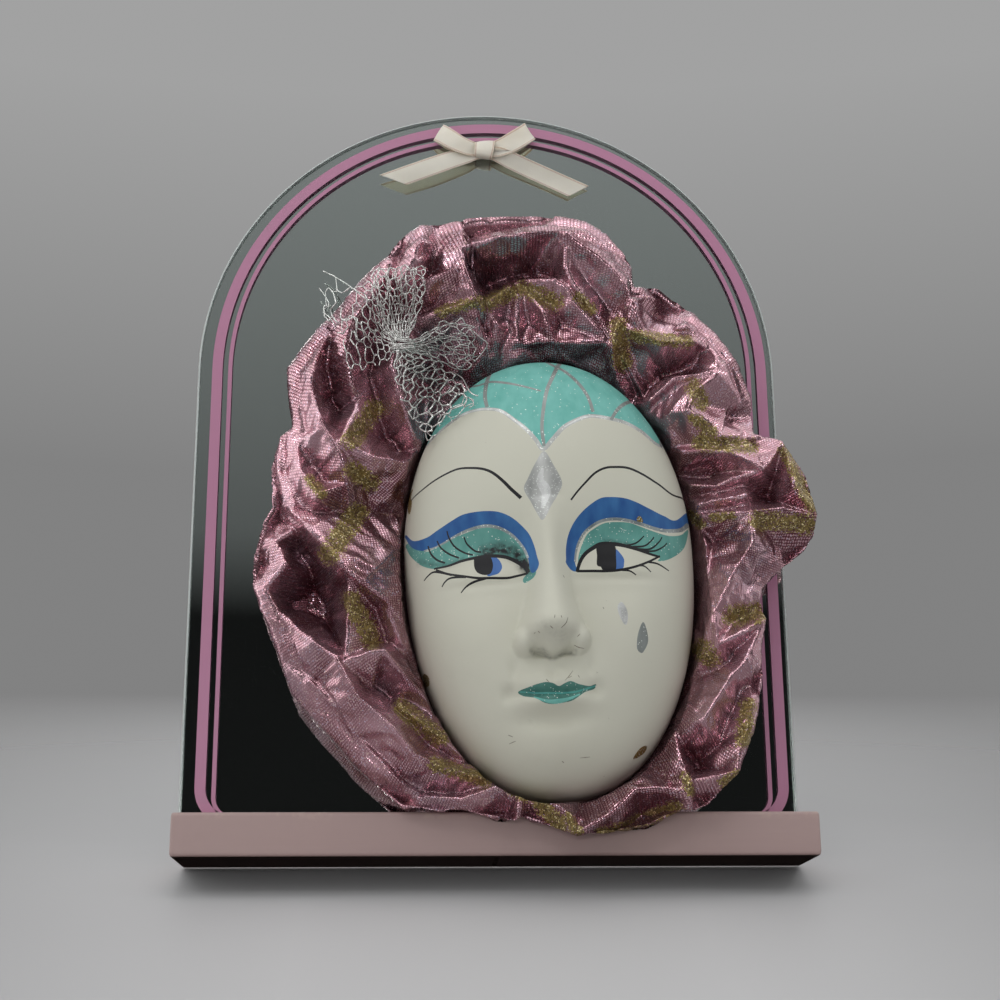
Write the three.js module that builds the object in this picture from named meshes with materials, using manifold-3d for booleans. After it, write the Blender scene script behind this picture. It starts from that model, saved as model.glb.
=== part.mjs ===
// A ceramic harlequin mask in a gathered cloth collar, fixed to an arched mirror
// that stands in the groove of a painted wooden board.
// Millimetres. X runs to the viewer's right, Y away from the viewer, Z up.
// The origin is the middle of the board's underside.

import * as THREE from 'three';
import { mergeVertices } from 'three/addons/utils/BufferGeometryUtils.js';
import Module from 'manifold-3d';

const wasm = await Module();
wasm.setup();

// Driving dimensions
const clearance = 0.3;
const board = { length: 267, depth: 44.5, height: 18, edge: 0.8 };
const mirror = { width: 262, thickness: 3, centreX: -2.2, foot: 10, springHeight: 219.8, arcSteps: 72 };
const mask = {
  centreX: 23, centreZ: 127.5, lean: 0.05, rimY: -7, wall: 4.5,
  halfWidth: 62.4, crownRise: 89, chinDrop: 104.6, crownPower: 2.06, chinPower: 2.2,
  doming: 52, domePower: 2.8, midline: -3.3, midlineTilt: 0.028,
};
const collar = { backY: -1.8, flange: 8, flangeTop: 6.6, stepsPerFold: 3 };
const satin = { x: -3, z: 330, ribbon: 9, thick: 0.8, knot: 8.6, knotDeep: 5.2, loopLength: 20, loopDeep: 5 };
const net = { x: -39, z: 217, backY: -40.8, thick: 3, waist: 6, waistBackY: -37, waistThick: 9 };

const frontOfMirror = -mirror.thickness / 2;
const paint = (color, roughness, metalness = 0) => new THREE.MeshStandardMaterial({ color, roughness, metalness });
const bump = (value, width, power = 2) => Math.exp(-(Math.abs(value / width) ** power));

function meshOf(name, geometry, material) {
  const mesh = new THREE.Mesh(geometry, material);
  mesh.name = name;
  return mesh;
}

// Solids for joining and cutting

function solidOf(geometry) {
  const bare = geometry.clone();
  bare.deleteAttribute('normal');
  bare.deleteAttribute('uv');
  const merged = mergeVertices(bare, 1e-3);
  return new wasm.Manifold(new wasm.Mesh({
    numProp: 3,
    vertProperties: new Float32Array(merged.attributes.position.array),
    triVerts: new Uint32Array(merged.index.array),
  }));
}

function geometryOf(solid) {
  const { vertProperties, triVerts } = solid.getMesh();
  const geometry = new THREE.BufferGeometry();
  geometry.setAttribute('position', new THREE.BufferAttribute(new Float32Array(vertProperties), 3));
  geometry.setIndex(new THREE.BufferAttribute(new Uint32Array(triVerts), 1));
  return geometry;
}

const joined = (geometries) => geometryOf(geometries.map(solidOf).reduce((sum, next) => sum.add(next)));

// An outline drawn as seen from the front, (x, z), and given a thickness towards the viewer
function frontPlate(shape, backY, thick, steps = 12) {
  const geometry = new THREE.ExtrudeGeometry(shape, { depth: thick, bevelEnabled: false, curveSegments: steps });
  geometry.rotateX(Math.PI / 2);
  geometry.translate(0, backY, 0);
  return geometry;
}

// Board: a planed strip with softened edges and a groove along the middle for the glass
function boardGeometry() {
  const halfDepth = board.depth / 2;
  const halfGroove = mirror.thickness / 2 + clearance;
  const grooveFloor = mirror.foot - clearance;
  const { height, edge } = board;
  const half = [
    [halfDepth - edge, 0], [halfDepth, edge], [halfDepth, height - edge], [halfDepth - edge, height],
    [halfGroove, height], [halfGroove, grooveFloor],
  ];
  const outline = [...half, ...half.map(([y, z]) => [-y, z]).reverse()];
  const section = new THREE.Shape(outline.map(([y, z]) => new THREE.Vector2(y, z)));
  const geometry = new THREE.ExtrudeGeometry(section, { depth: board.length, bevelEnabled: false });
  geometry.rotateX(Math.PI / 2);
  geometry.rotateZ(Math.PI / 2);
  geometry.translate(-board.length / 2, 0, 0);
  return geometry;
}

// Mirror: upright glass with straight sides and a half-round top
function mirrorGeometry() {
  const radius = mirror.width / 2;
  const { centreX, foot, springHeight } = mirror;
  const arch = new THREE.Shape();
  arch.moveTo(centreX - radius, foot);
  arch.lineTo(centreX + radius, foot);
  arch.lineTo(centreX + radius, springHeight);
  arch.absarc(centreX, springHeight, radius, 0, Math.PI, false);
  arch.closePath();
  return frontPlate(arch, mirror.thickness / 2, mirror.thickness, mirror.arcSteps);
}

// Mask. s runs across the face and t up it, from the widest level of its egg outline.

// 0 at the middle of the face, 1 on its rim
function rimGauge(s, t) {
  const power = t > 0 ? mask.crownPower : mask.chinPower;
  const reach = t > 0 ? mask.crownRise : mask.chinDrop;
  return (Math.abs(s / mask.halfWidth) ** power + Math.abs(t / reach) ** power) ** (1 / power);
}

// The nose as stations down its ridge: [t, height, half width]
const noseRidge = [[14, 0, 6], [4, 2, 6.4], [-8, 5, 6], [-20, 9, 6.4], [-31, 13.5, 7.4], [-39, 17.5, 8.8],
  [-44, 19, 9.4], [-48, 17.5, 9.6], [-51.5, 12.5, 9.4], [-54, 5.5, 9], [-57, 0, 9]];
const noseWing = { across: 9.6, level: -46.5, wide: 5.3, tall: 6.6, height: 11 };

function noseHeight(f, t) {
  const last = noseRidge.length - 1;
  if (t > noseRidge[0][0] || t < noseRidge[last][0]) return 0;
  const next = noseRidge.findIndex(([level]) => level <= t) || 1;
  const [t0, h0, w0] = noseRidge[next - 1];
  const [t1, h1, w1] = noseRidge[next];
  const part = (t0 - t) / (t0 - t1);
  const ridge = h0 + (h1 - h0) * part;
  const { across, level, wide, tall, height } = noseWing;
  const offWing = ((Math.abs(f) - across) / wide) ** 2 + ((t - level) / tall) ** 2;
  const wing = height * Math.max(1 - offWing, 0) ** 0.6;
  return Math.max(ridge * bump(f, w0 + (w1 - w0) * part, 2.2), wing);
}

function features(f, t) {
  const side = Math.abs(f);
  const forehead = 5 * bump(f, 36) * bump(t - 26, 34);
  const sockets = -5 * bump(side - 26, 17) * bump(t + 11, 13);
  const lids = 4.5 * bump(side - 27, 15, 2.6) * bump(t + 13.5, 9, 2.6);
  const cheeks = 3.5 * bump(side - 32, 17) * bump(t + 46, 22);
  const muzzle = 5 * bump(f, 18) * bump(t + 66, 13);
  const upperLip = 1.8 * bump(f, 12.5, 3) * bump(t + 63.7, 2.8);
  const lowerLip = 2.8 * bump(f, 10.5, 2.6) * bump(t + 69.8, 3.4);
  const mouthLine = -1.8 * bump(f, 14, 4) * bump(t + 66.6, 1.4);
  const corners = -1.8 * bump(side - 18, 4.5) * bump(t + 66, 4);
  const underLip = -3.2 * bump(f, 13) * bump(t + 76.5, 4);
  const chin = 5.5 * bump(f, 16) * bump(t + 90, 11);
  const nostrils = -3.5 * bump(side - 8, 2.6) * bump(t + 52.6, 2);
  return forehead + sockets + lids + cheeks + muzzle + upperLip + lowerLip + mouthLine + corners
    + underLip + chin + nostrils + noseHeight(f, t);
}

// How far the outer face stands in front of the rim
function faceHeight(s, t) {
  const gauge = rimGauge(s, t);
  if (gauge >= 1) return 0;
  const dome = mask.doming * (1 - gauge ** mask.domePower) ** (1 / mask.domePower);
  return dome + features(s - mask.midline - mask.midlineTilt * t, t) * (1 - gauge ** 5);
}

// The inside follows the outside one wall thickness away
function insideHeight(s, t) {
  let least = faceHeight(s, t) - mask.wall;
  for (let ring = 1; ring <= 2; ring += 1) {
    const reach = mask.wall * ring / 2;
    const rise = Math.sqrt(mask.wall ** 2 - reach ** 2);
    for (let turn = 0; turn < 12; turn += 1) {
      const angle = turn * Math.PI / 6;
      least = Math.min(least, faceHeight(s + reach * Math.cos(angle), t + reach * Math.sin(angle)) - rise);
    }
  }
  return Math.max(least, 0);
}

// Levels down the face, closer together at the nose and mouth
function faceLevels(count) {
  const fine = 400;
  const share = (angle) => 1 + 1.6 * bump(angle - 2.12, 0.2, 4);
  const total = Array.from({ length: fine }, (_, i) => share((i + 0.5) * Math.PI / fine)).reduce((a, b) => a + b);
  const levels = [];
  let sum = 0;
  for (let i = 0; i <= fine && levels.length < count - 1; i += 1) {
    if (sum >= total * (levels.length + 1) / count) levels.push(i * Math.PI / fine);
    sum += share((i + 0.5) * Math.PI / fine);
  }
  return levels;
}

function maskGeometry() {
  const rows = 46;
  const across = 28;
  const insideAcross = 10;
  const levels = faceLevels(rows);
  const positions = [];
  const index = [];
  const place = (s, t, height) => {
    const x = mask.centreX + s * Math.cos(mask.lean) - t * Math.sin(mask.lean);
    const z = mask.centreZ + s * Math.sin(mask.lean) + t * Math.cos(mask.lean);
    positions.push(x, mask.rimY - height, z);
    return positions.length / 3 - 1;
  };
  // One skin as rows from crown to chin; its two end points are the poles
  const skin = (inset, columns, heightAt, centreWeight) => {
    const crown = mask.crownRise - inset;
    const chin = mask.chinDrop - inset;
    const halfWidth = mask.halfWidth - inset;
    const grid = levels.map((angle) => {
      const upper = Math.cos(angle) > 0;
      const power = upper ? mask.crownPower : mask.chinPower;
      const t = Math.sign(Math.cos(angle)) * (upper ? crown : chin) * Math.abs(Math.cos(angle)) ** (2 / power);
      const reach = halfWidth * Math.sin(angle) ** (2 / power);
      return Array.from({ length: columns + 1 }, (_, j) => {
        const turn = (j / columns - 0.5) * Math.PI;
        const s = reach * Math.sign(turn) * Math.abs(Math.sin(turn)) ** centreWeight;
        return place(s, t, j === 0 || j === columns ? 0 : heightAt(s, t));
      });
    });
    return { top: place(0, crown, 0), bottom: place(0, -chin, 0), grid };
  };
  const outer = skin(0, across, faceHeight, 1.5);
  const inner = skin(mask.wall, insideAcross, insideHeight, 1);
  const fill = ({ top, bottom, grid }, flip) => {
    const add = (a, b, c) => (flip ? index.push(a, c, b) : index.push(a, b, c));
    const wide = grid[0].length - 1;
    for (let j = 0; j < wide; j += 1) {
      add(top, grid[0][j], grid[0][j + 1]);
      add(bottom, grid[grid.length - 1][j + 1], grid[grid.length - 1][j]);
      for (let i = 0; i < grid.length - 1; i += 1) {
        add(grid[i][j], grid[i + 1][j], grid[i + 1][j + 1]);
        add(grid[i][j], grid[i + 1][j + 1], grid[i][j + 1]);
      }
    }
  };
  fill(outer, false);
  fill(inner, true);
  // The flat rim between the two skins
  const rimOf = ({ top, bottom, grid }) => [
    top, ...grid.map((row) => row[0]), bottom, ...grid.map((row) => row[row.length - 1]).reverse(),
  ];
  const outerRim = rimOf(outer);
  const innerRim = rimOf(inner);
  outerRim.forEach((vertex, i) => {
    const next = (i + 1) % outerRim.length;
    index.push(vertex, innerRim[i], outerRim[next], outerRim[next], innerRim[i], innerRim[next]);
  });
  const geometry = new THREE.BufferGeometry();
  geometry.setAttribute('position', new THREE.Float32BufferAttribute(positions, 3));
  geometry.setIndex(index);
  return geometry;
}

// Collar: fold tips and hollows in turn, as [degrees, reach from the mask's middle, stand-off].
// Degrees run anticlockwise from the viewer's right.
const collarFolds = [
  [-176, 127, 48], [-166, 125, 40], [-157, 119, 46], [-142, 117, 36], [-129, 120, 44], [-119, 124, 33],
  [-113, 121, 42], [-106, 117, 34], [-97, 117, 42], [-92, 113, 36], [-86, 122, 44], [-74, 124, 40],
  [-63, 124, 32], [-58, 126, 40], [-53, 122, 34], [-47, 122, 42], [-36, 107, 36], [-27, 101, 30],
  [-18, 97, 40], [-10, 91, 28], [-3, 103, 38], [4, 113, 36], [9, 118, 48], [15, 120, 38],
  [21, 120, 44], [26, 119, 42], [31, 106, 32], [38, 114, 42], [44, 122, 46], [50, 129, 38],
  [58, 132, 46], [67, 131, 40], [73, 127, 30], [77, 143, 40], [82, 152, 48], [90, 156, 44],
  [97, 155, 42], [105, 157, 42], [112, 158, 36], [119, 152, 40], [127, 147, 36], [136, 146, 41],
  [144, 143, 38], [150, 132, 45], [157, 127, 34], [163, 125, 42], [170, 120, 34], [177, 125, 44],
];

// The collar's section at one fold: [distance from the mask's middle, stand-off from the mirror]
function collarSection(degrees, reach, standOff) {
  const angle = THREE.MathUtils.degToRad(degrees);
  const rim = 1 / rimGauge(Math.cos(angle - mask.lean), Math.sin(angle - mask.lean));
  const wide = reach - rim;
  // Low on the collar the cloth passes in front of the board
  const boardTop = (mask.centreZ - board.height - 0.8) / Math.max(-Math.sin(angle), 1e-6);
  const overBoard = reach > boardTop;
  const behind = overBoard ? Math.max(0.4 * standOff, board.depth / 2 + 1.2) : 0.34 * standOff;
  const section = [
    [rim - collar.flange, -collar.backY],
    [Math.min(rim + 0.35 * wide, boardTop), -collar.backY],
    [Math.min(rim + 0.72 * wide, boardTop), behind],
    [reach, Math.max(0.72 * standOff, behind + 1)],
    [rim + 0.84 * wide, standOff],
    [rim + 0.5 * wide, 0.93 * standOff],
    [rim + 0.2 * wide, 0.66 * standOff],
    [rim + 1.2, 0.6 * standOff],
    [rim + 1.2, collar.flangeTop],
    [rim - collar.flange, collar.flangeTop],
  ];
  return section.map(([radius, out]) => new THREE.Vector3(
    mask.centreX + radius * Math.cos(angle), -out, mask.centreZ + radius * Math.sin(angle),
  ));
}

function collarGeometry() {
  const sections = collarFolds.flatMap(([from, reach, standOff], i) => {
    const next = collarFolds[(i + 1) % collarFolds.length];
    const span = (next[0] - from + 360) % 360;
    return Array.from({ length: collar.stepsPerFold }, (_, k) => {
      const part = k / collar.stepsPerFold;
      const blend = (1 - Math.cos(part * Math.PI)) / 2;
      const between = (here, there) => here + (there - here) * blend;
      return collarSection(from + span * part, between(reach, next[1]), between(standOff, next[2]));
    });
  });
  const around = sections[0].length;
  const index = [];
  sections.forEach((_, i) => {
    const next = (i + 1) % sections.length;
    for (let k = 0; k < around; k += 1) {
      const k2 = (k + 1) % around;
      const [a, b, c, d] = [i * around + k, next * around + k, next * around + k2, i * around + k2];
      index.push(a, b, c, a, c, d);
    }
  });
  const geometry = new THREE.BufferGeometry();
  geometry.setFromPoints(sections.flat());
  geometry.setIndex(index);
  return geometry;
}

// Satin bow: two flattened loops and two slant-cut tails held by a knot, close to the glass
function satinBowGeometry() {
  const backY = frontOfMirror - clearance;
  const { ribbon, thick, loopLength, loopDeep } = satin;
  const place = (geometry, angle) => geometry.rotateY(-angle).translate(satin.x, backY, satin.z);
  const loop = (angle) => {
    const outline = (inset) => {
      const middle = -loopDeep / 2 - 0.2;
      const near = 1 + 2.5 * inset;
      const bend = Array.from({ length: 9 }, (_, i) => Math.PI / 2 - i * Math.PI / 8).map((turn) => (
        new THREE.Vector2(
          loopLength - loopDeep / 2 + (loopDeep / 2 - inset) * Math.cos(turn),
          middle + (loopDeep / 2 - inset) * Math.sin(turn),
        )
      ));
      return [new THREE.Vector2(near, middle + 1.5 - inset), ...bend, new THREE.Vector2(near, middle - 1.5 + inset)];
    };
    const band = new THREE.Shape(outline(0));
    band.holes.push(new THREE.Path(outline(thick).reverse()));
    const geometry = new THREE.ExtrudeGeometry(band, { depth: ribbon, bevelEnabled: false });
    geometry.translate(0, 0, -ribbon / 2);
    return place(geometry, angle);
  };
  const tail = (angle, length, cut) => {
    const half = ribbon / 2;
    const corners = [[0, -half], [length - cut, -half], [length + cut, half], [0, half]];
    const strip = new THREE.Shape(corners.map(([x, z]) => new THREE.Vector2(x, z)));
    const upright = Math.abs(angle) > Math.PI / 2 ? Math.PI : 0;
    const geometry = frontPlate(strip, 0, thick);
    if (upright) geometry.rotateX(Math.PI).translate(0, -thick, 0);
    return place(geometry, angle);
  };
  const half = satin.knot / 2;
  const knotOutline = new THREE.Shape();
  knotOutline.absellipse(0, 0, half, half, 0, Math.PI * 2);
  const knot = frontPlate(knotOutline, 0, satin.knotDeep, 12).translate(satin.x, backY, satin.z);
  return joined([knot, loop(2.76), loop(0.4), tail(-2.81, 46, 5), tail(-0.42, 49, 4)]);
}

// Net bow: four flat lobes of gathered net round a waist; outlines are (x, z) from the waist
const netLobes = [
  [[-3, 0], [-14, 20], [-15, 36], [-4, 40], [7, 37], [8, 20], [3, 2]],
  [[0, 2], [-20, 16], [-37, 34], [-40, 30], [-36, 12], [-22, -6], [-10, -11], [-2, -4]],
  [[0, -2], [12, 8], [20, 12], [30, 9], [35, 0], [30, -9], [27, -12], [12, -6]],
  [[-3, 1], [-6, -12], [-4, -24], [3, -34], [9, -42], [17, -38], [27, -24], [28, -13], [8, -1]],
];

function netBowGeometry() {
  const lobes = netLobes.map((outline) => {
    const points = outline.map(([x, z]) => new THREE.Vector2(net.x + x, net.z + z));
    return frontPlate(new THREE.Shape(points), net.backY, net.thick);
  });
  const waistOutline = new THREE.Shape();
  waistOutline.absellipse(net.x, net.z, net.waist, net.waist * 0.7, 0, Math.PI * 2);
  return joined([...lobes, frontPlate(waistOutline, net.waistBackY, net.waistThick)]);
}

const model = new THREE.Group();
model.add(
  meshOf('base_board', boardGeometry(), paint(0xb08e8c, 0.55)),
  meshOf('mirror_plate', mirrorGeometry(), paint(0x9aa09e, 0.05, 1)),
  meshOf('mask', maskGeometry(), paint(0xd6d4c4, 0.7)),
  meshOf('ruffle_collar', collarGeometry(), paint(0xa8707e, 0.35, 0.6)),
  meshOf('satin_bow', satinBowGeometry(), paint(0xe8d8c8, 0.4)),
  meshOf('net_bow', netBowGeometry(), paint(0x9a9a94, 0.4, 0.6)),
);

export default model;
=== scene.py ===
# Harlequin mask in a gathered lame collar on an arched mirror: the looks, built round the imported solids.
# Sizes and places are millimetres in the part's own frame: X to the viewer's right, Y away, Z up.
import math

import bmesh
import bpy
import numpy as np
from mathutils import Matrix, Vector
from mathutils.geometry import delaunay_2d_cdt


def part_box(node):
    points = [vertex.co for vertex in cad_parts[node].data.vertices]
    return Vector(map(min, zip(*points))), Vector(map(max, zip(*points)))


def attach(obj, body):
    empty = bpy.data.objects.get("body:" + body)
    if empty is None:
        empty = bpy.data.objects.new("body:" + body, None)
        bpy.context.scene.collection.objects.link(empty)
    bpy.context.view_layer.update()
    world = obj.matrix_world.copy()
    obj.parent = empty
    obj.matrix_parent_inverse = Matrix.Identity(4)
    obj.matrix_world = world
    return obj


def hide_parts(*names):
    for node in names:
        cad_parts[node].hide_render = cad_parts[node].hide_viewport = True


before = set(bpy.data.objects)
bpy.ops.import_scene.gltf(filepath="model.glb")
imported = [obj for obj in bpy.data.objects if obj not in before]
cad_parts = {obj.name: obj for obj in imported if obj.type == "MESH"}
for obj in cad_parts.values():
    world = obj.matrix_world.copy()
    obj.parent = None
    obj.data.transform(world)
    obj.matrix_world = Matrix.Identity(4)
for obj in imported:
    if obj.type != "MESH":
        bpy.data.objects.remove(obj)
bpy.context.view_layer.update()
print("Frame loaded")


# Camera, and the way from a point of the photograph to the object

cameraSettings = {
    "place": (-32.5, -766.8, -80.6),  # below the board, because the piece leans back in the photograph
    "lift": 17.34,                    # degrees above level
    "turn": -2.65,
    "roll": -0.45,
    "lens": 64.87,
    "sensor": 36.0,
    "picture": 1000.0,                # pixels each way
}


def makeCamera(settings):
    turned = (Matrix.Rotation(math.radians(settings["turn"]), 4, "Z")
              @ Matrix.Rotation(math.radians(90 + settings["lift"]), 4, "X")
              @ Matrix.Rotation(math.radians(settings["roll"]), 4, "Z"))
    lens = bpy.data.cameras.new("photo_camera")
    lens.lens = settings["lens"]
    lens.sensor_width = settings["sensor"]
    eye = bpy.data.objects.new("photo_camera", lens)
    eye.matrix_world = Matrix.Translation(Vector(settings["place"]) / 1000) @ turned
    bpy.context.scene.collection.objects.link(eye)
    bpy.context.scene.camera = eye
    return np.array(turned.to_3x3())


cameraAxes = makeCamera(cameraSettings).T  # its right, up and backward directions
cameraPlace = np.array(cameraSettings["place"])
pixelFocus = cameraSettings["lens"] / cameraSettings["sensor"] * cameraSettings["picture"]
pictureMiddle = cameraSettings["picture"] / 2


def atDepth(pixels, depth):  # the points at that y which the photograph shows at these pixels
    pixels = np.asarray(pixels, float)[:, :2]
    across, down = (pixels.T - pictureMiddle) / pixelFocus
    lines = across[:, None] * cameraAxes[0] - down[:, None] * cameraAxes[1] - cameraAxes[2]
    return cameraPlace + lines * ((depth - cameraPlace[1]) / lines[:, 1])[:, None]


def toPixels(points):
    right, up, back = cameraAxes @ (points - cameraPlace).T
    return np.stack([pictureMiddle - pixelFocus * right / back, pictureMiddle + pixelFocus * up / back], 1)


# Small tools for shapes

def bump(value, width, power=2):
    return np.exp(-np.abs(value / width) ** power)


def smoothLine(points, step, closed=False):  # a smooth curve through the points, with even steps
    points = np.asarray(points, float)
    count = len(points)
    spans = count if closed else count - 1
    at = (lambda i: points[i % count]) if closed else (lambda i: points[min(max(i, 0), count - 1)])
    part = np.linspace(0, 1, 12, endpoint=False)[:, None]
    dense = []
    for i in range(spans):
        a, b, c, d = at(i - 1), at(i), at(i + 1), at(i + 2)
        dense.append(0.5 * (2 * b + (c - a) * part + (2 * a - 5 * b + 4 * c - d) * part ** 2
                            + (3 * b - a - 3 * c + d) * part ** 3))
    dense.append(at(spans)[None])
    return evenSteps(np.concatenate(dense), step=step)[:-1 if closed else None]


def lengthAlong(line):
    return np.concatenate([[0], np.cumsum(np.linalg.norm(np.diff(line, axis=0), axis=1))])


def evenSteps(line, step=None, count=None):
    along = lengthAlong(line)
    count = count or max(int(round(along[-1] / step)) + 1, 3)
    wanted = np.linspace(0, along[-1], count)
    return np.stack([np.interp(wanted, along, column) for column in line.T], 1)


def inside(points, outline):  # which points lie in a closed outline
    x, y = points.T
    result = np.zeros(len(points), bool)
    for (x0, y0), (x1, y1) in zip(outline, np.roll(outline, -1, axis=0)):
        crosses = (y0 > y) != (y1 > y)
        if crosses.any():
            result ^= crosses & (x < (x1 - x0) * (y - y0) / (y1 - y0 + 1e-12) + x0)
    return result


def offLine(points, line):  # distance from a line of points, the side (+1 is left) and the share along it
    best = np.full(len(points), np.inf)
    side = np.ones(len(points))
    share = np.zeros(len(points))
    for i, (start, end) in enumerate(zip(line[:-1], line[1:])):
        way = end - start
        part = np.clip((points - start) @ way / (way @ way), 0, 1)
        away = points - start - part[:, None] * way
        far = np.hypot(away[:, 0], away[:, 1])
        nearer = far < best
        best[nearer] = far[nearer]
        side[nearer] = np.where(way[0] * away[nearer, 1] - way[1] * away[nearer, 0] > 0, 1, -1)
        share[nearer] = i + part[nearer]
    return best, side, share


def scatter(i, j, seed):  # the same chance value from 0 to 1 for the same cell each time
    mixed = np.sin(i * 127.1 + j * 311.7 + seed * 74.7) * 43758.5453
    return mixed - np.floor(mixed)


def softNoise(x, y, seed):  # smooth chance values from -1 to 1
    i, j = np.floor(x), np.floor(y)
    fx, fy = x - i, y - j
    fx, fy = fx * fx * (3 - 2 * fx), fy * fy * (3 - 2 * fy)
    low = scatter(i, j, seed) * (1 - fx) + scatter(i + 1, j, seed) * fx
    high = scatter(i, j + 1, seed) * (1 - fx) + scatter(i + 1, j + 1, seed) * fx
    return 2 * (low * (1 - fy) + high * fy) - 1


neighbours = [(di, dj) for di in (-1, 0, 1) for dj in (-1, 0, 1)]


def creaseNoise(x, y, seed):  # 0 on a net of crooked lines, rising to about 1 in its cells
    i, j = np.floor(x), np.floor(y)
    nearest = np.full(x.shape, np.inf)
    second = np.full(x.shape, np.inf)
    for di, dj in neighbours:
        across = i + di + scatter(i + di, j + dj, seed) - x
        up = j + dj + scatter(i + di, j + dj, seed + 9) - y
        far = np.hypot(across, up)
        second = np.minimum(second, np.maximum(nearest, far))
        nearest = np.minimum(nearest, far)
    return np.clip(second - nearest, 0, 1)


def gridFaces(rows, columns, closedRows=False, closedColumns=False):
    i = np.arange(rows if closedRows else rows - 1)[:, None]
    j = np.arange(columns if closedColumns else columns - 1)[None]
    i2, j2 = (i + 1) % rows, (j + 1) % columns
    corners = [i * columns + j, i2 * columns + j, i2 * columns + j2, i * columns + j2]
    return np.stack([c.ravel() for c in corners], 1)


def tubeFaces(rings, around, way=1):  # of a closed body made of rings, its two ends last
    last = (rings - 1) * around
    ends = [list(range(around))[::way], list(range(last, last + around))[::-way]]
    return gridFaces(rings, around, closedColumns=True).tolist() + ends


def joinParts(parts):  # the points and faces of several loose parts as one
    starts = np.cumsum([0] + [len(points) for points, _ in parts])
    faces = [[corner + start for corner in side]
             for start, (_, sides) in zip(starts, parts) for side in sides]
    return np.concatenate([points for points, _ in parts]), faces


def makePiece(name, points, faces, materials, faceMaterials=None, smooth=True, flat=None, values=None):
    mesh = bpy.data.meshes.new(name)
    faces = faces.tolist() if isinstance(faces, np.ndarray) else faces
    mesh.from_pydata((np.asarray(points) / 1000).tolist(), [], faces)
    for material in materials:
        mesh.materials.append(material)
    if faceMaterials is not None:
        mesh.polygons.foreach_set("material_index", np.asarray(faceMaterials, np.int32))
    mesh.polygons.foreach_set("use_smooth", np.full(len(mesh.polygons), smooth))
    if flat is not None:  # the cloth's own flat coordinates, in metres, for its weave
        corner = np.empty(len(mesh.loops), np.int32)
        mesh.loops.foreach_get("vertex_index", corner)
        layer = mesh.uv_layers.new(name="cloth")
        layer.data.foreach_set("uv", (np.asarray(flat, np.float32)[corner] / 1000).ravel())
    for key, value in (values or {}).items():
        mesh.attributes.new(key, "FLOAT", "POINT").data.foreach_set("value", np.asarray(value, np.float32))
    piece = bpy.data.objects.new(name, mesh)
    bpy.context.scene.collection.objects.link(piece)
    return piece


def vertexPlaces(mesh):  # in millimetres
    flat = np.empty(len(mesh.vertices) * 3)
    mesh.vertices.foreach_get("co", flat)
    return flat.reshape(-1, 3) * 1000


def outwardFaces(piece):
    shape = bmesh.new()
    shape.from_mesh(piece.data)
    bmesh.ops.recalc_face_normals(shape, faces=shape.faces)
    shape.to_mesh(piece.data)
    shape.free()


def settle(piece, slot, *nodes):
    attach(piece, "root")
    if nodes:
        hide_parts(*nodes)
    return piece


# Node groups that several materials use

def addNode(tree, kind, inputs=None, **settings):
    node = tree.nodes.new(kind)
    for key, value in settings.items():
        setattr(node, key, value)
    for key, value in (inputs or {}).items():
        feed(node.inputs[key], value)
    return node


def feed(socket, value):
    if isinstance(value, bpy.types.NodeSocket):
        socket.id_data.links.new(value, socket)
    else:
        socket.default_value = value


def treeOf(*values):  # the node tree that these belong to, which the plain numbers among them don't say
    return next(value.id_data for value in values if isinstance(value, bpy.types.NodeSocket))


def newGroup(name, inputs, outputs):
    group = bpy.data.node_groups.new(name, "ShaderNodeTree")
    for label, value in inputs.items():
        socket = group.interface.new_socket(name=label, in_out="INPUT", socket_type="NodeSocketFloat")
        socket.default_value = value
    for label in outputs:
        group.interface.new_socket(name=label, in_out="OUTPUT", socket_type="NodeSocketFloat")
    return group, group.nodes.new("NodeGroupInput").outputs, group.nodes.new("NodeGroupOutput").inputs


def calc(operation, first, second=0.0, third=0.0):
    return addNode(treeOf(first, second, third), "ShaderNodeMath", {0: first, 1: second, 2: third},
                   operation=operation).outputs[0]


def times(first, second):
    return calc("MULTIPLY", first, second)


def timesPlus(first, second, third):  # first * second + third
    return calc("MULTIPLY_ADD", first, second, third)


def spread(value, start, end, first=0.0, last=1.0):  # from start to end becomes from first to last
    node = addNode(value.id_data, "ShaderNodeMapRange", {
        "Value": value, "From Min": start, "From Max": end, "To Min": first, "To Max": last})
    return node.outputs["Result"]


def coordinates(tree, kind="Object"):
    return addNode(tree, "ShaderNodeTexCoord").outputs[kind]


def axesOf(vector):
    return addNode(vector.id_data, "ShaderNodeSeparateXYZ", {"Vector": vector}).outputs


def makeFlecks():  # glitter flecks: which spots shine, and a chance value for each
    group, given, made = newGroup("Glitter flecks", {"Per Metre": 1500.0, "Share": 0.3}, ["Mask", "Chance"])
    cells = addNode(group, "ShaderNodeTexVoronoi", {
        "Vector": coordinates(group), "Scale": given["Per Metre"]})
    chance = addNode(group, "ShaderNodeSeparateColor", {"Color": cells.outputs["Color"]})
    picked = calc("LESS_THAN", chance.outputs["Red"], given["Share"])
    rounded = calc("LESS_THAN", cells.outputs["Distance"], 0.42)
    feed(made["Mask"], times(picked, rounded))
    feed(made["Chance"], chance.outputs["Green"])
    return group


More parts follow.
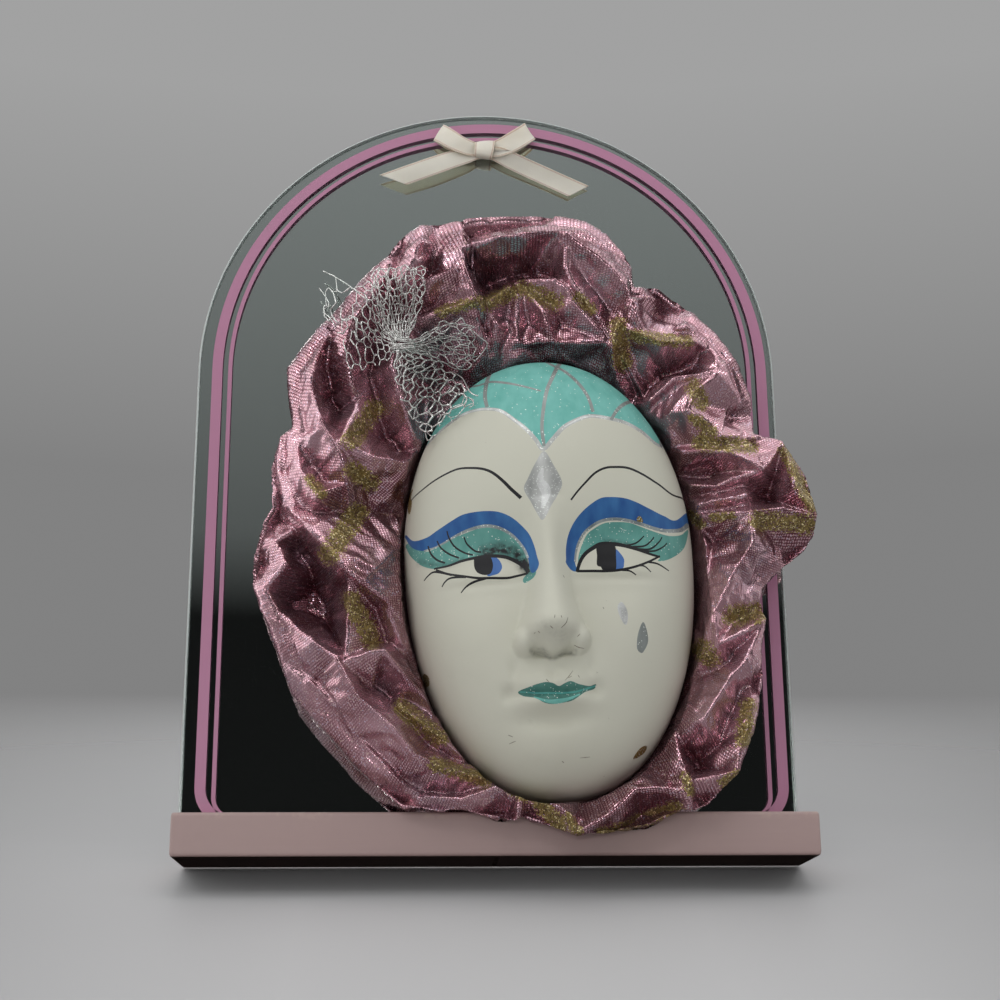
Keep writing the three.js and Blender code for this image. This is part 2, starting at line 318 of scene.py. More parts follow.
def makeGrime():  # uneven dirt: a soft cloud broken up by a finer one
    group, given, made = newGroup("Handled dirt", {"Scale": 30.0, "Cover": 0.4, "Edge": 0.12}, ["Mask"])
    place = coordinates(group)
    broad = addNode(group, "ShaderNodeTexNoise", {"Vector": place, "Scale": given["Scale"], "Detail": 3.0})
    finer = times(given["Scale"], 7.0)
    fine = addNode(group, "ShaderNodeTexNoise", {"Vector": place, "Scale": finer, "Detail": 6.0})
    both = timesPlus(fine.outputs["Fac"], 0.35, times(broad.outputs["Fac"], 0.65))
    low = calc("SUBTRACT", 0.72, times(given["Cover"], 0.4))
    high = calc("ADD", low, given["Edge"])
    feed(made["Mask"], spread(both, low, high))
    return group


def makeRibs():  # woven ribs from the cloth's own flat coordinates
    group, given, made = newGroup("Woven ribs", {
        "Rib Pitch": 0.001, "Thread Pitch": 0.0006, "Unevenness": 0.3}, ["Height", "Gap"])
    flat = coordinates(group, "UV")
    wander = addNode(group, "ShaderNodeTexNoise", {"Vector": flat, "Scale": 90.0, "Detail": 2.0})
    axes = axesOf(flat)
    phase = times(wander.outputs["Fac"], times(given["Unevenness"], 20.0))

    def wave(value, pitch):
        turns = timesPlus(calc("DIVIDE", value, pitch), 2 * math.pi, phase)
        return timesPlus(calc("SINE", turns), 0.5, 0.5)

    ribs, threads = wave(axes["Y"], given["Rib Pitch"]), wave(axes["X"], given["Thread Pitch"])
    height = calc("POWER", times(ribs, threads), 0.4)
    feed(made["Height"], height)
    feed(made["Gap"], spread(height, 0.82, 0.4))
    return group


fleckGroup = makeFlecks()
grimeGroup = makeGrime()
ribGroup = makeRibs()


def newMaterial(name, colour, roughness, metallic=0.0, **sockets):
    material = bpy.data.materials.new(name)
    material.use_nodes = True
    shader = material.node_tree.nodes["Principled BSDF"]
    sockets = {"Base Color": (*colour, 1), "Roughness": roughness, "Metallic": metallic, **sockets}
    for key, value in sockets.items():
        shader.inputs[key.replace("_", " ")].default_value = value
    return material, material.node_tree, shader


def useGroup(tree, group, **values):
    node = tree.nodes.new("ShaderNodeGroup")
    node.node_tree = group
    for key, value in values.items():
        node.inputs[key.replace("_", " ")].default_value = value
    return node.outputs


def dirt(tree, scale, cover, edge):
    return useGroup(tree, grimeGroup, Scale=scale, Cover=cover, Edge=edge)["Mask"]


def mixColours(mask, first, second):
    first, second = ((*tone, 1) if isinstance(tone, tuple) else tone for tone in (first, second))
    return addNode(mask.id_data, "ShaderNodeMix", {"Factor": mask, "A": first, "B": second},
                   data_type="RGBA").outputs["Result"]


def mixValues(mask, first, last):
    return spread(mask, 0.0, 1.0, first, last)


def attribute(tree, name):
    return addNode(tree, "ShaderNodeAttribute", attribute_name=name).outputs["Fac"]


def bumpUp(shader, height, distance, strength, below=None):
    node = addNode(shader.id_data, "ShaderNodeBump", {
        "Height": height, "Distance": distance, "Strength": strength})
    if below is not None:
        feed(node.inputs["Normal"], below)
    feed(shader.inputs["Normal"], node.outputs["Normal"])
    return node.outputs["Normal"]


def cloudNoise(tree, scale, detail=4.0, stretch=(1, 1, 1)):
    scaled = addNode(tree, "ShaderNodeMapping", {"Vector": coordinates(tree), "Scale": stretch})
    return addNode(tree, "ShaderNodeTexNoise", {
        "Vector": scaled.outputs["Vector"], "Scale": scale, "Detail": detail}).outputs["Fac"]


def surface(shader, tone=None, roughness=None, metallic=None):
    for key, value in (("Base Color", tone), ("Roughness", roughness), ("Metallic", metallic)):
        if value is not None:
            feed(shader.inputs[key], value)


# Finishes

colours = {
    "bisque": (0.70, 0.70, 0.60),
    # dirt on the bisque, also the painted shade in the mask's hollows
    "bisqueDirtAndShade": (0.30, 0.27, 0.22),
    "black": (0.006, 0.006, 0.008),
    "gold": (0.36, 0.26, 0.085),
    "goldDark": (0.07, 0.045, 0.018),
    "goldGlint": (1.0, 0.86, 0.5),
    "rose": (0.66, 0.39, 0.445),
    # the dark of the weave, and the painted shade in the collar's valleys
    "roseDeep": (0.10, 0.02, 0.03),
    "lilac": (0.84, 0.70, 0.82),
    "boardPink": (0.50, 0.355, 0.34),
    "stripe": (0.53, 0.235, 0.37),
    "ribbon": (0.98, 0.91, 0.73),
    "ribbonHem": (0.50, 0.29, 0.22),
    "thread": (0.60, 0.60, 0.56),
    "silvering": (0.86, 0.88, 0.87),
}
# The paints on the mask: dark and pale tone, roughness, share of glitter, metallic, and smudged or not
paints = {
    "teal": ("teal_paint", (0.13, 0.46, 0.40), (0.22, 0.58, 0.52), 0.5, 0.022, 0.0, True),
    "lidTeal": ("lid_paint", (0.085, 0.285, 0.25), (0.16, 0.41, 0.36), 0.45, 0.05, 0.0, True),
    "lipTeal": ("lip_paint", (0.028, 0.13, 0.108), (0.10, 0.275, 0.23), 0.42, 0.07),
    "tealDark": ("dark_teal_paint", (0.05, 0.26, 0.25), (0.13, 0.46, 0.40), 0.45, 0.06),
    "blue": ("blue_paint", (0.010, 0.07, 0.26), (0.04, 0.165, 0.40), 0.5),
    "silver": ("silver_paint", (0.31, 0.32, 0.31), (0.64, 0.65, 0.63), 0.4, 0.12, 0.25),
    "lidSilver": ("lid_silver_paint", (0.17, 0.21, 0.22), (0.40, 0.44, 0.44), 0.4, 0.16, 0.25),
    "palerSilver": ("pale_silver_paint", (0.45, 0.46, 0.45), (0.82, 0.83, 0.82), 0.35, 0.3, 0.15),
    "greySilver": ("grey_silver_paint", (0.20, 0.22, 0.21), (0.32, 0.35, 0.34), 0.42, 0.08, 0.35),
    "scuff": ("dark_scuff", (0.16, 0.145, 0.11), (0.36, 0.33, 0.26), 0.6),
    "black": ("black_paint", (0.006, 0.006, 0.008), (0.008, 0.008, 0.01), 0.5),
    "iris": ("iris_paint", (0.04, 0.13, 0.38), (0.08, 0.19, 0.48), 0.4),
    "gold": ("gold_glitter", (0.25, 0.18, 0.05), (0.36, 0.26, 0.085), 0.45, 0.3, 0.7),
}


# Smears and painted crease shade, broken up by a ragged cloud
def raggedSmudgeAndShade(tree):
    return times(attribute(tree, "smudgeAndShade"), mixValues(cloudNoise(tree, 500.0, 5.0), -0.5, 2.6))


def makeBisque():
    material, tree, shader = newMaterial("bisque_ceramic", colours["bisque"], 0.62, Specular_IOR_Level=0.35)
    # Dirt and painted shade in the hollows: the deeper a place lies, the darker it is painted
    hollowDirtAndShade = timesPlus(attribute(tree, "hollow"), 0.8, 0.12)
    specks = times(dirt(tree, 170.0, 0.06, 0.03), 0.35)
    dirtAndShade = calc("MAXIMUM", times(hollowDirtAndShade, dirt(tree, 26.0, 0.3, 0.35)), specks)
    tone = mixColours(cloudNoise(tree, 22.0), (0.69, 0.69, 0.59), (0.64, 0.635, 0.53))
    tone = mixColours(dirtAndShade, tone, colours["bisqueDirtAndShade"])
    tone = mixColours(raggedSmudgeAndShade(tree), tone, colours["black"])
    surface(shader, tone, mixValues(cloudNoise(tree, 60.0), 0.5, 0.72))
    pores = bumpUp(shader, cloudNoise(tree, 2600.0, 2.0), 0.00006, 0.5)
    bumpUp(shader, cloudNoise(tree, 240.0, 5.0), 0.0002, 0.4, pores)
    return material


def makePaint(name, dark, pale, roughness, glitter=0.0, metallic=0.0, smudged=False):
    material, tree, shader = newMaterial(name, dark, roughness, metallic, Specular_IOR_Level=0.35)
    streaks = cloudNoise(tree, 190.0, 5.0, (1, 1, 0.35))
    tone = mixColours(mixValues(streaks, -0.6, 1.6), dark, pale)
    if glitter:
        flecks = useGroup(tree, fleckGroup, Per_Metre=2000.0, Share=glitter)
        tone = mixColours(flecks["Mask"], tone, (0.85, 0.9, 0.85))
        surface(shader, metallic=mixValues(flecks["Mask"], metallic, 0.9))
    tone = mixColours(times(dirt(tree, 60.0, 0.2, 0.2), 0.3), tone, colours["bisqueDirtAndShade"])
    if smudged:
        tone = mixColours(raggedSmudgeAndShade(tree), tone, colours["black"])
    surface(shader, tone, mixValues(streaks, roughness - 0.12, roughness + 0.15))
    bumpUp(shader, streaks, 0.00012, 0.6)
    return material


def makeLame():
    material, tree, shader = newMaterial("rose_lame", colours["rose"], 0.3, 0.9)
    weave = useGroup(tree, ribGroup, Rib_Pitch=0.00115, Thread_Pitch=0.00115, Unevenness=0.03)
    flecks = useGroup(tree, fleckGroup, Per_Metre=1300.0, Share=0.3)
    patchy = spread(cloudNoise(tree, 26.0, 2.0), 0.4, 0.6, 0.45, 0.95)
    rose = mixColours(times(weave["Gap"], patchy), colours["rose"], colours["roseDeep"])
    # Painted shade: the deep rose laid into the valleys between the folds
    rose = mixColours(times(attribute(tree, "valley_shade"), 0.8), rose, colours["roseDeep"])
    sheen = mixValues(cloudNoise(tree, 60.0, 3.0), -1.2, 1.2)
    rose = mixColours(times(sheen, 0.3), rose, colours["lilac"])
    shine = mixColours(flecks["Chance"], (0.80, 0.74, 1.0), (1.0, 0.72, 0.58))
    rose = mixColours(times(flecks["Mask"], 0.5), rose, shine)
    # Strokes of gold glitter over it, grain by grain, with ragged edges
    grains = useGroup(tree, fleckGroup, Per_Metre=1600.0, Share=1.0)
    ragged = timesPlus(weave["Gap"], -0.35, mixValues(cloudNoise(tree, 420.0, 4.0), -0.9, 0.9))
    cover = timesPlus(attribute(tree, "gold"), 1.5, timesPlus(ragged, 0.8, -0.35))
    stroke = calc("LESS_THAN", grains["Chance"], cover)
    # Painted glints: a share of the glitter grains painted pale yellow
    glinting = times(calc("GREATER_THAN", flecks["Chance"], 0.74), grains["Mask"])
    gold = mixColours(grains["Chance"], colours["gold"], colours["goldDark"])
    gold = mixColours(glinting, gold, colours["goldGlint"])
    rough = timesPlus(stroke, 0.18, mixValues(weave["Gap"], 0.13, 0.3))
    metal = timesPlus(stroke, -0.35, mixValues(weave["Gap"], 0.95, 0.7))
    surface(shader, mixColours(stroke, rose, gold), rough, metal)
    ribs = bumpUp(shader, weave["Height"], 0.00004, 0.7)
    bumpUp(shader, times(grains["Chance"], stroke), 0.0003, 0.9, ribs)
    return material


def makeSatin():
    material, tree, shader = newMaterial(
        "cream_satin", colours["ribbon"], 0.3, Sheen_Weight=0.2, Sheen_Roughness=0.4,
        Subsurface_Weight=0.75, Subsurface_Scale=0.0012, Subsurface_Radius=(1.0, 0.95, 0.85))
    weave = useGroup(tree, ribGroup, Rib_Pitch=0.00045, Thread_Pitch=0.0002, Unevenness=0.08)
    tone = mixColours(times(weave["Gap"], 0.6), colours["ribbon"], (0.84, 0.72, 0.58))
    # A line of stitches along each edge of the 9 mm ribbon
    flat = axesOf(coordinates(tree, "UV"))
    fromMiddle = calc("ABSOLUTE", calc("SUBTRACT", flat["X"], 0.0045))
    outside = calc("SUBTRACT", 1.0, spread(fromMiddle, 0.0042, 0.0044))
    seam = times(spread(fromMiddle, 0.0035, 0.0038), outside)
    stitch = timesPlus(calc("SINE", times(flat["Y"], 9000.0)), 0.3, 0.6)
    tone = mixColours(times(seam, stitch), tone, colours["ribbonHem"])
    tone = mixColours(times(dirt(tree, 90.0, 0.3, 0.4), 0.35), tone, (0.80, 0.62, 0.53))
    surface(shader, tone, mixValues(weave["Height"], 0.42, 0.24))
    creased = bumpUp(shader, cloudNoise(tree, 75.0, 1.0), 0.003, 0.7)
    bumpUp(shader, weave["Height"], 0.00005, 0.7, creased)
    return material


def makeThread():
    material, tree, shader = newMaterial("silver_thread", colours["thread"], 0.3, 0.6)
    twistAndGlints = cloudNoise(tree, 1500.0, 2.0)
    # Painted glints: the tone runs at random from grey to white along the thread
    tone = mixColours(mixValues(twistAndGlints, -1.4, 2.4), (0.46, 0.46, 0.44), (1.0, 1.0, 0.97))
    surface(shader, tone, mixValues(twistAndGlints, 0.4, 0.16))
    bumpUp(shader, twistAndGlints, 0.00015, 0.8)
    return material


def makeBoardPaint():
    material, tree, shader = newMaterial("pink_board_paint", colours["boardPink"], 0.5)
    grain = cloudNoise(tree, 34.0, 6.0, (0.12, 1, 1))
    rubbed = times(attribute(tree, "edge"), dirt(tree, 55.0, 0.5, 0.1))
    tone = mixColours(mixValues(grain, -0.5, 1.5), (0.40, 0.285, 0.27), (0.45, 0.325, 0.31))
    tone = mixColours(times(dirt(tree, 18.0, 0.35, 0.3), 0.35), tone, (0.34, 0.24, 0.225))
    tone = mixColours(times(rubbed, 0.7), tone, (0.55, 0.42, 0.36))
    surface(shader, tone, mixValues(grain, 0.38, 0.62))
    brush = bumpUp(shader, cloudNoise(tree, 300.0, 3.0, (0.04, 1, 1)), 0.00015, 0.5)
    bumpUp(shader, grain, 0.0005, 0.35, brush)
    return material


def makeStripePaint():
    material, tree, shader = newMaterial("printed_pink", colours["stripe"], 0.4)
    dusty = times(dirt(tree, 70.0, 0.35, 0.2), 0.3)
    surface(shader, mixColours(dusty, colours["stripe"], (0.40, 0.25, 0.33)),
            mixValues(cloudNoise(tree, 120.0), 0.32, 0.5))
    return material


def makeGlass():
    material, tree, shader = newMaterial(
        "clear_glass", (0.93, 0.97, 0.95), 0.0, IOR=1.5, Transmission_Weight=1.0)
    surface(shader, roughness=mixValues(dirt(tree, 40.0, 0.1, 0.4), 0.0, 0.06))
    return material


def makeGroundGlass():
    material, tree, shader = newMaterial(
        "ground_glass_edge", (0.80, 0.88, 0.85), 0.35, IOR=1.5, Transmission_Weight=0.55)
    chips = cloudNoise(tree, 700.0, 5.0)
    surface(shader, roughness=mixValues(chips, 0.15, 0.6))
    bumpUp(shader, chips, 0.0004, 0.8)
    return material


def makeSilvering():
    material, tree, shader = newMaterial("mirror_silver", colours["silvering"], 0.02, 1.0)
    tarnish = dirt(tree, 24.0, 0.15, 0.2)
    surface(shader, mixColours(tarnish, colours["silvering"], (0.72, 0.72, 0.68)))
    return material


def makeBackPaint():
    material, tree, shader = newMaterial("mirror_back_paint", (0.16, 0.19, 0.2), 0.6)
    blotch = cloudNoise(tree, 45.0, 6.0)
    surface(shader, mixColours(blotch, (0.11, 0.14, 0.15), (0.22, 0.25, 0.26)),
            mixValues(blotch, 0.5, 0.75))
    bumpUp(shader, cloudNoise(tree, 500.0, 3.0), 0.0001, 0.5)
    return material


finish = {
    **{tint: makePaint(*recipe) for tint, recipe in paints.items()},
    "bisque": makeBisque(),
    "lame": makeLame(),
    "satin": makeSatin(),
    "thread": makeThread(),
    "board": makeBoardPaint(),
    "stripe": makeStripePaint(),
    "glass": makeGlass(),
    "groundGlass": makeGroundGlass(),
    "silvering": makeSilvering(),
    "backPaint": makeBackPaint(),
}
print("Finishes made")


# Mask: s runs across the face and t up it, from the widest level of its egg outline

maskHigh = np.array(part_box("mask")[1]) * 1000
maskShape = {
    "centreX": 23.0, "centreZ": 127.5, "lean": 0.05, "rimY": maskHigh[1], "wall": 4.5,
    "halfWidth": 62.4, "crownRise": 89.0, "chinDrop": 104.6, "crownPower": 2.06, "chinPower": 2.2,
    "doming": 52.0, "domePower": 2.8, "midline": -3.3, "midlineTilt": 0.028,
    "grain": 1.25,      # size of the outer skin's triangles
    "finer": (24, -74, -36),  # half of it round the nose and mouth: half width, lowest and highest level
    "turns": 300, "ringStep": 1.6, "ringTop": 30,  # rings close together where the side is steep
    "sideTop": 8.0, "sideRows": 5,  # the steep foot of the outside, as rows from this height down to the rim
    "innerRows": 40, "innerTurns": 96,
}

# Features as [rise, place across (twice where not 0), its width, place up, its height] and their powers
faceFeatures = [
    (5.0, 0, 36, 26, 34, 2, 2),          # forehead
    (-6.4, 26, 17, -11, 12.5, 2, 2),     # eye sockets
    (4.9, 27, 15, -13.5, 9, 2.6, 2.6),   # closed form of the eyeballs and lids
    (-1.0, 28, 17, -20.6, 1.6, 3, 2),    # fold under each eye
    (3.5, 32, 17, -46, 22, 2, 2),        # cheeks
    (5.0, 0, 18, -66, 13, 2, 2),         # muzzle
    (1.8, 0, 12.5, -62.2, 3.2, 3, 2),    # upper lip
    (2.8, 0, 10.5, -69.8, 3.4, 2.6, 2),  # lower lip
    (-1.8, 0, 14, -66.6, 1.4, 4, 2),     # mouth line
    (-0.9, 0, 2.2, -59.5, 3.0, 2, 2),    # groove above the lip
    (-2.6, 17.4, 3.4, -65.6, 3.2, 2, 2),  # corners of the mouth
    (-4.6, 0, 13, -76.2, 3.7, 2, 2),     # under the lip
    (-1.1, 15.2, 2.4, -56.5, 4.4, 2, 2),  # folds from the nose to the mouth
    (5.5, 0, 16, -90, 11, 2, 2),         # chin
    (-1.8, 5.8, 2.6, -50.8, 1.2, 2, 2),  # nostrils
]
noseShape = {
    # Stations down the ridge: [level, height, how far its sides reach]
    "ridge": np.array([
        [14, 0.4, 7], [4, 3, 7.5], [-8, 6.4, 8.2], [-20, 10.2, 9], [-29, 13.4, 10.2], [-35, 16, 12],
        [-39, 18, 13.4], [-41.5, 18.6, 14.2], [-44, 16.8, 14.4], [-46.3, 13.2, 14], [-48.4, 9.4, 13],
        [-50.4, 5.8, 12], [-52, 2.6, 11], [-52.8, 0, 10]]),
    "wing": {"across": 10.9, "level": -45.8, "wide": 4.9, "tall": 6.2, "height": 8.4},
    "blend": 3.4,  # softness where the wings meet the ridge
    "base": 0.05,  # how much higher the foot is beside its middle
    "creased": (-12, -28),  # a crease beside the nose begins and is full at these levels
    "nostrils": {"level": -52.0, "deep": 3.4, "wide": 7.8, "tall": 0.9},
}


def rimGauge(s, t):  # 0 at the middle of the face, 1 on its rim
    power = np.where(t > 0, maskShape["crownPower"], maskShape["chinPower"])
    reach = np.where(t > 0, maskShape["crownRise"], maskShape["chinDrop"])
    return (np.abs(s / maskShape["halfWidth"]) ** power + np.abs(t / reach) ** power) ** (1 / power)


def smoothStations(value, places, heights):  # a rounded line through stations, 0 beyond its ends
    soft = [np.interp(value + shift, places, heights, 0, 0) for shift in (-1.6, -0.8, 0, 0.8, 1.6)]
    return np.average(soft, axis=0, weights=(1, 2, 3, 2, 1))


def noseHeight(f, t):
    level, height, width = noseShape["ridge"][::-1].T
    below = np.clip((-44 - t) / 5, 0, 1)
    lifted = t - noseShape["base"] * np.minimum(f * f, 50) * below
    side = np.abs(f) / np.maximum(smoothStations(t, level, width), 0.01)
    start, full = noseShape["creased"]
    sharp = np.clip((start - t) / (start - full), 0, 1)
    across = (1 - sharp) * np.exp(-(side * 1.3) ** 2) + sharp * np.maximum(1 - side ** 2.1, 0)
    ridge = smoothStations(lifted, level, height) * across
    w, blend = noseShape["wing"], noseShape["blend"]
    offWing = ((np.abs(f) - w["across"]) / w["wide"]) ** 2 + ((t - w["level"]) / w["tall"]) ** 2
    wing = w["height"] * np.maximum(1 - offWing, 0) ** 0.6
    over = np.maximum(blend - np.abs(ridge - wing), 0) / blend
    whole = np.maximum(ridge, wing) + over ** 2 * blend / 4 * (np.minimum(ridge, wing) > 0)
    n = noseShape["nostrils"]
    return whole - n["deep"] * bump(lifted - n["level"], n["tall"]) * bump(f, n["wide"], 4)


def domeGauge(height):  # the rim gauge at which the plain dome has this height
    return (1 - (height / maskShape["doming"]) ** maskShape["domePower"]) ** (1 / maskShape["domePower"])


def faceHeight(s, t):  # how far the outer skin stands in front of the rim
    gauge = np.minimum(rimGauge(s, t), 1)
    power = maskShape["domePower"]
    dome = maskShape["doming"] * (1 - gauge ** power) ** (1 / power)
    f = s - maskShape["midline"] - maskShape["midlineTilt"] * t
    relief = noseHeight(f, t)
    for rise, across, wide, level, tall, acrossPower, levelPower in faceFeatures:
        aside = bump(np.abs(f) - across, wide, acrossPower)
        relief = relief + rise * aside * bump(t - level, tall, levelPower)
    return dome + relief * (1 - gauge ** 5)


def insideHeight(s, t):  # the inside keeps one wall thickness from the outside
    wall = maskShape["wall"]
    least = faceHeight(s, t) - wall
    for ring in (0.5, 1.0):
        rise = wall * math.sqrt(1 - ring ** 2)
        for turn in np.arange(12) * math.pi / 6:
            outside = faceHeight(s + wall * ring * math.cos(turn), t + wall * ring * math.sin(turn))
            least = np.minimum(least, outside - rise)
    return np.maximum(least, 0)


def onMask(s, t, height):
    lean = maskShape["lean"]
    x = maskShape["centreX"] + s * math.cos(lean) - t * math.sin(lean)
    z = maskShape["centreZ"] + s * math.sin(lean) + t * math.cos(lean)
    return np.stack([x, maskShape["rimY"] - height, z], 1)


def faceSpots(points):  # s and t of points in the part's frame
    lean = maskShape["lean"]
    x, z = points[:, 0] - maskShape["centreX"], points[:, 2] - maskShape["centreZ"]
    return x * math.cos(lean) + z * math.sin(lean), z * math.cos(lean) - x * math.sin(lean)


def spotsOnFace(pixels):  # s and t where the photograph shows these pixels on the face
    depth = np.full(len(pixels), -45.0)
    for _ in range(30):
        s, t = faceSpots(atDepth(pixels, depth))
        depth = 0.5 * depth + 0.5 * (maskShape["rimY"] - faceHeight(s, t))
    return np.stack([s, t], 1)


# The painting, in the photograph's pixels, with the later ones over the earlier
capBorder = [
    (403, 483), (410, 471), (417, 460), (428, 444), (444, 428), (462, 415), (477, 410), (489, 409),
    (501, 411), (513, 419), (526, 429), (536, 440), (543, 449), (552, 440), (564, 427), (579, 419),
    (591, 416), (607, 418), (626, 423), (642, 432), (658, 445), (670, 458), (681, 473), (689, 491)]
wingEdgeLeft = [
    (424, 551), (434, 548), (444, 543), (454, 537), (466, 531), (479, 527), (489, 526), (499, 528),
    (509, 533), (517, 540), (524, 549), (528, 558)]
wingEdgeRight = [
    (575, 562), (576, 552), (579, 542), (585, 532), (595, 524), (605, 520), (617, 519), (630, 521),
    (644, 525), (656, 529), (668, 531), (681, 530), (688, 525)]
paintAreas = [
    ("silver", [
        (544, 451), (553, 464), (562, 482), (558, 494), (551, 506), (546, 516), (542, 520), (538, 515),
        (531, 502), (524, 489), (528, 478), (536, 462)]),
    ("lidTeal", [
        (407, 544), (424, 551), (434, 549), (454, 538), (477, 529), (489, 527), (501, 530), (511, 535),
        (520, 544), (526, 554), (529, 566), (536, 571), (534, 577), (529, 581), (524, 583), (523, 579),
        (526, 573), (517, 563), (505, 558), (489, 556), (475, 558), (462, 561), (448, 566), (435, 569),
        (422, 566), (412, 558), (407, 550)]),
    ("lidTeal", [
        (578, 567), (579, 554), (586, 536), (595, 528), (605, 523), (617, 522), (630, 523), (644, 528),
        (658, 533), (670, 536), (681, 535), (688, 530), (687, 539), (684, 548), (677, 555), (667, 560),
        (658, 561), (660, 557), (650, 555), (636, 550), (621, 546), (611, 544), (601, 545), (593, 549),
        (585, 554), (580, 562)]),
    ("blue", [
        (405, 536), (413, 541), (426, 538), (438, 530), (450, 522), (462, 515), (475, 512), (487, 511),
        (499, 512), (511, 517), (521, 525), (529, 534), (534, 545), (537, 556), (539, 564), (536, 571),
        (531, 572), *wingEdgeLeft[::-1], (414, 549), (408, 543)]),
    ("blue", [
        (566, 559), (566, 548), (568, 536), (573, 524), (581, 513), (591, 504), (601, 498), (611, 497),
        (624, 498), (636, 502), (650, 509), (664, 516), (677, 520), (688, 517), *wingEdgeRight[::-1],
        (577, 571), (571, 570), (566, 563)]),
    ("iris", [(490, 557), (497, 558), (501, 563), (502, 568), (499, 573), (494, 575), (487, 575)]),
    ("iris", [(615, 550), (620, 553), (624, 559), (624, 564), (623, 568), (615, 570)]),
    ("black", [
        (475, 557), (474, 565), (476, 571), (480, 574), (486, 575), (491, 573), (493, 566), (492, 560),
        (490, 557), (483, 556)]),
    ("black", [
        (597, 546), (597, 556), (597, 565), (601, 567), (603, 570), (611, 571), (616, 569), (616, 556),
        (615, 546), (607, 544)]),
    ("lipTeal", [
        (518, 692), (529, 687), (537, 684), (546, 682), (553, 683), (559, 686), (565, 683), (571, 681),
        (579, 684), (589, 686), (596, 684), (594, 689), (585, 692), (578, 697), (571, 701), (561, 703),
        (551, 704), (543, 702), (536, 698), (529, 697), (523, 696)]),
    ("palerSilver", [(622, 602), (627, 610), (628, 619), (626, 625), (622, 621), (618, 611), (618, 605)]),
    ("greySilver", [(643, 622), (647, 631), (648, 642), (644, 651), (641, 653), (637, 648), (638, 634)]),
    ("gold", [
        (413, 489), (411, 497), (412, 503), (410, 514), (408, 512), (407, 506), (404, 505), (407, 502)]),
    ("gold", [(637, 518), (640, 516), (643, 521), (640, 524), (637, 521)]),
    ("gold", [(647, 746), (645, 752), (639, 757), (633, 759), (637, 752), (642, 747)]),
    ("gold", [(425, 674), (429, 678), (429, 686), (425, 687), (423, 680)]),
]
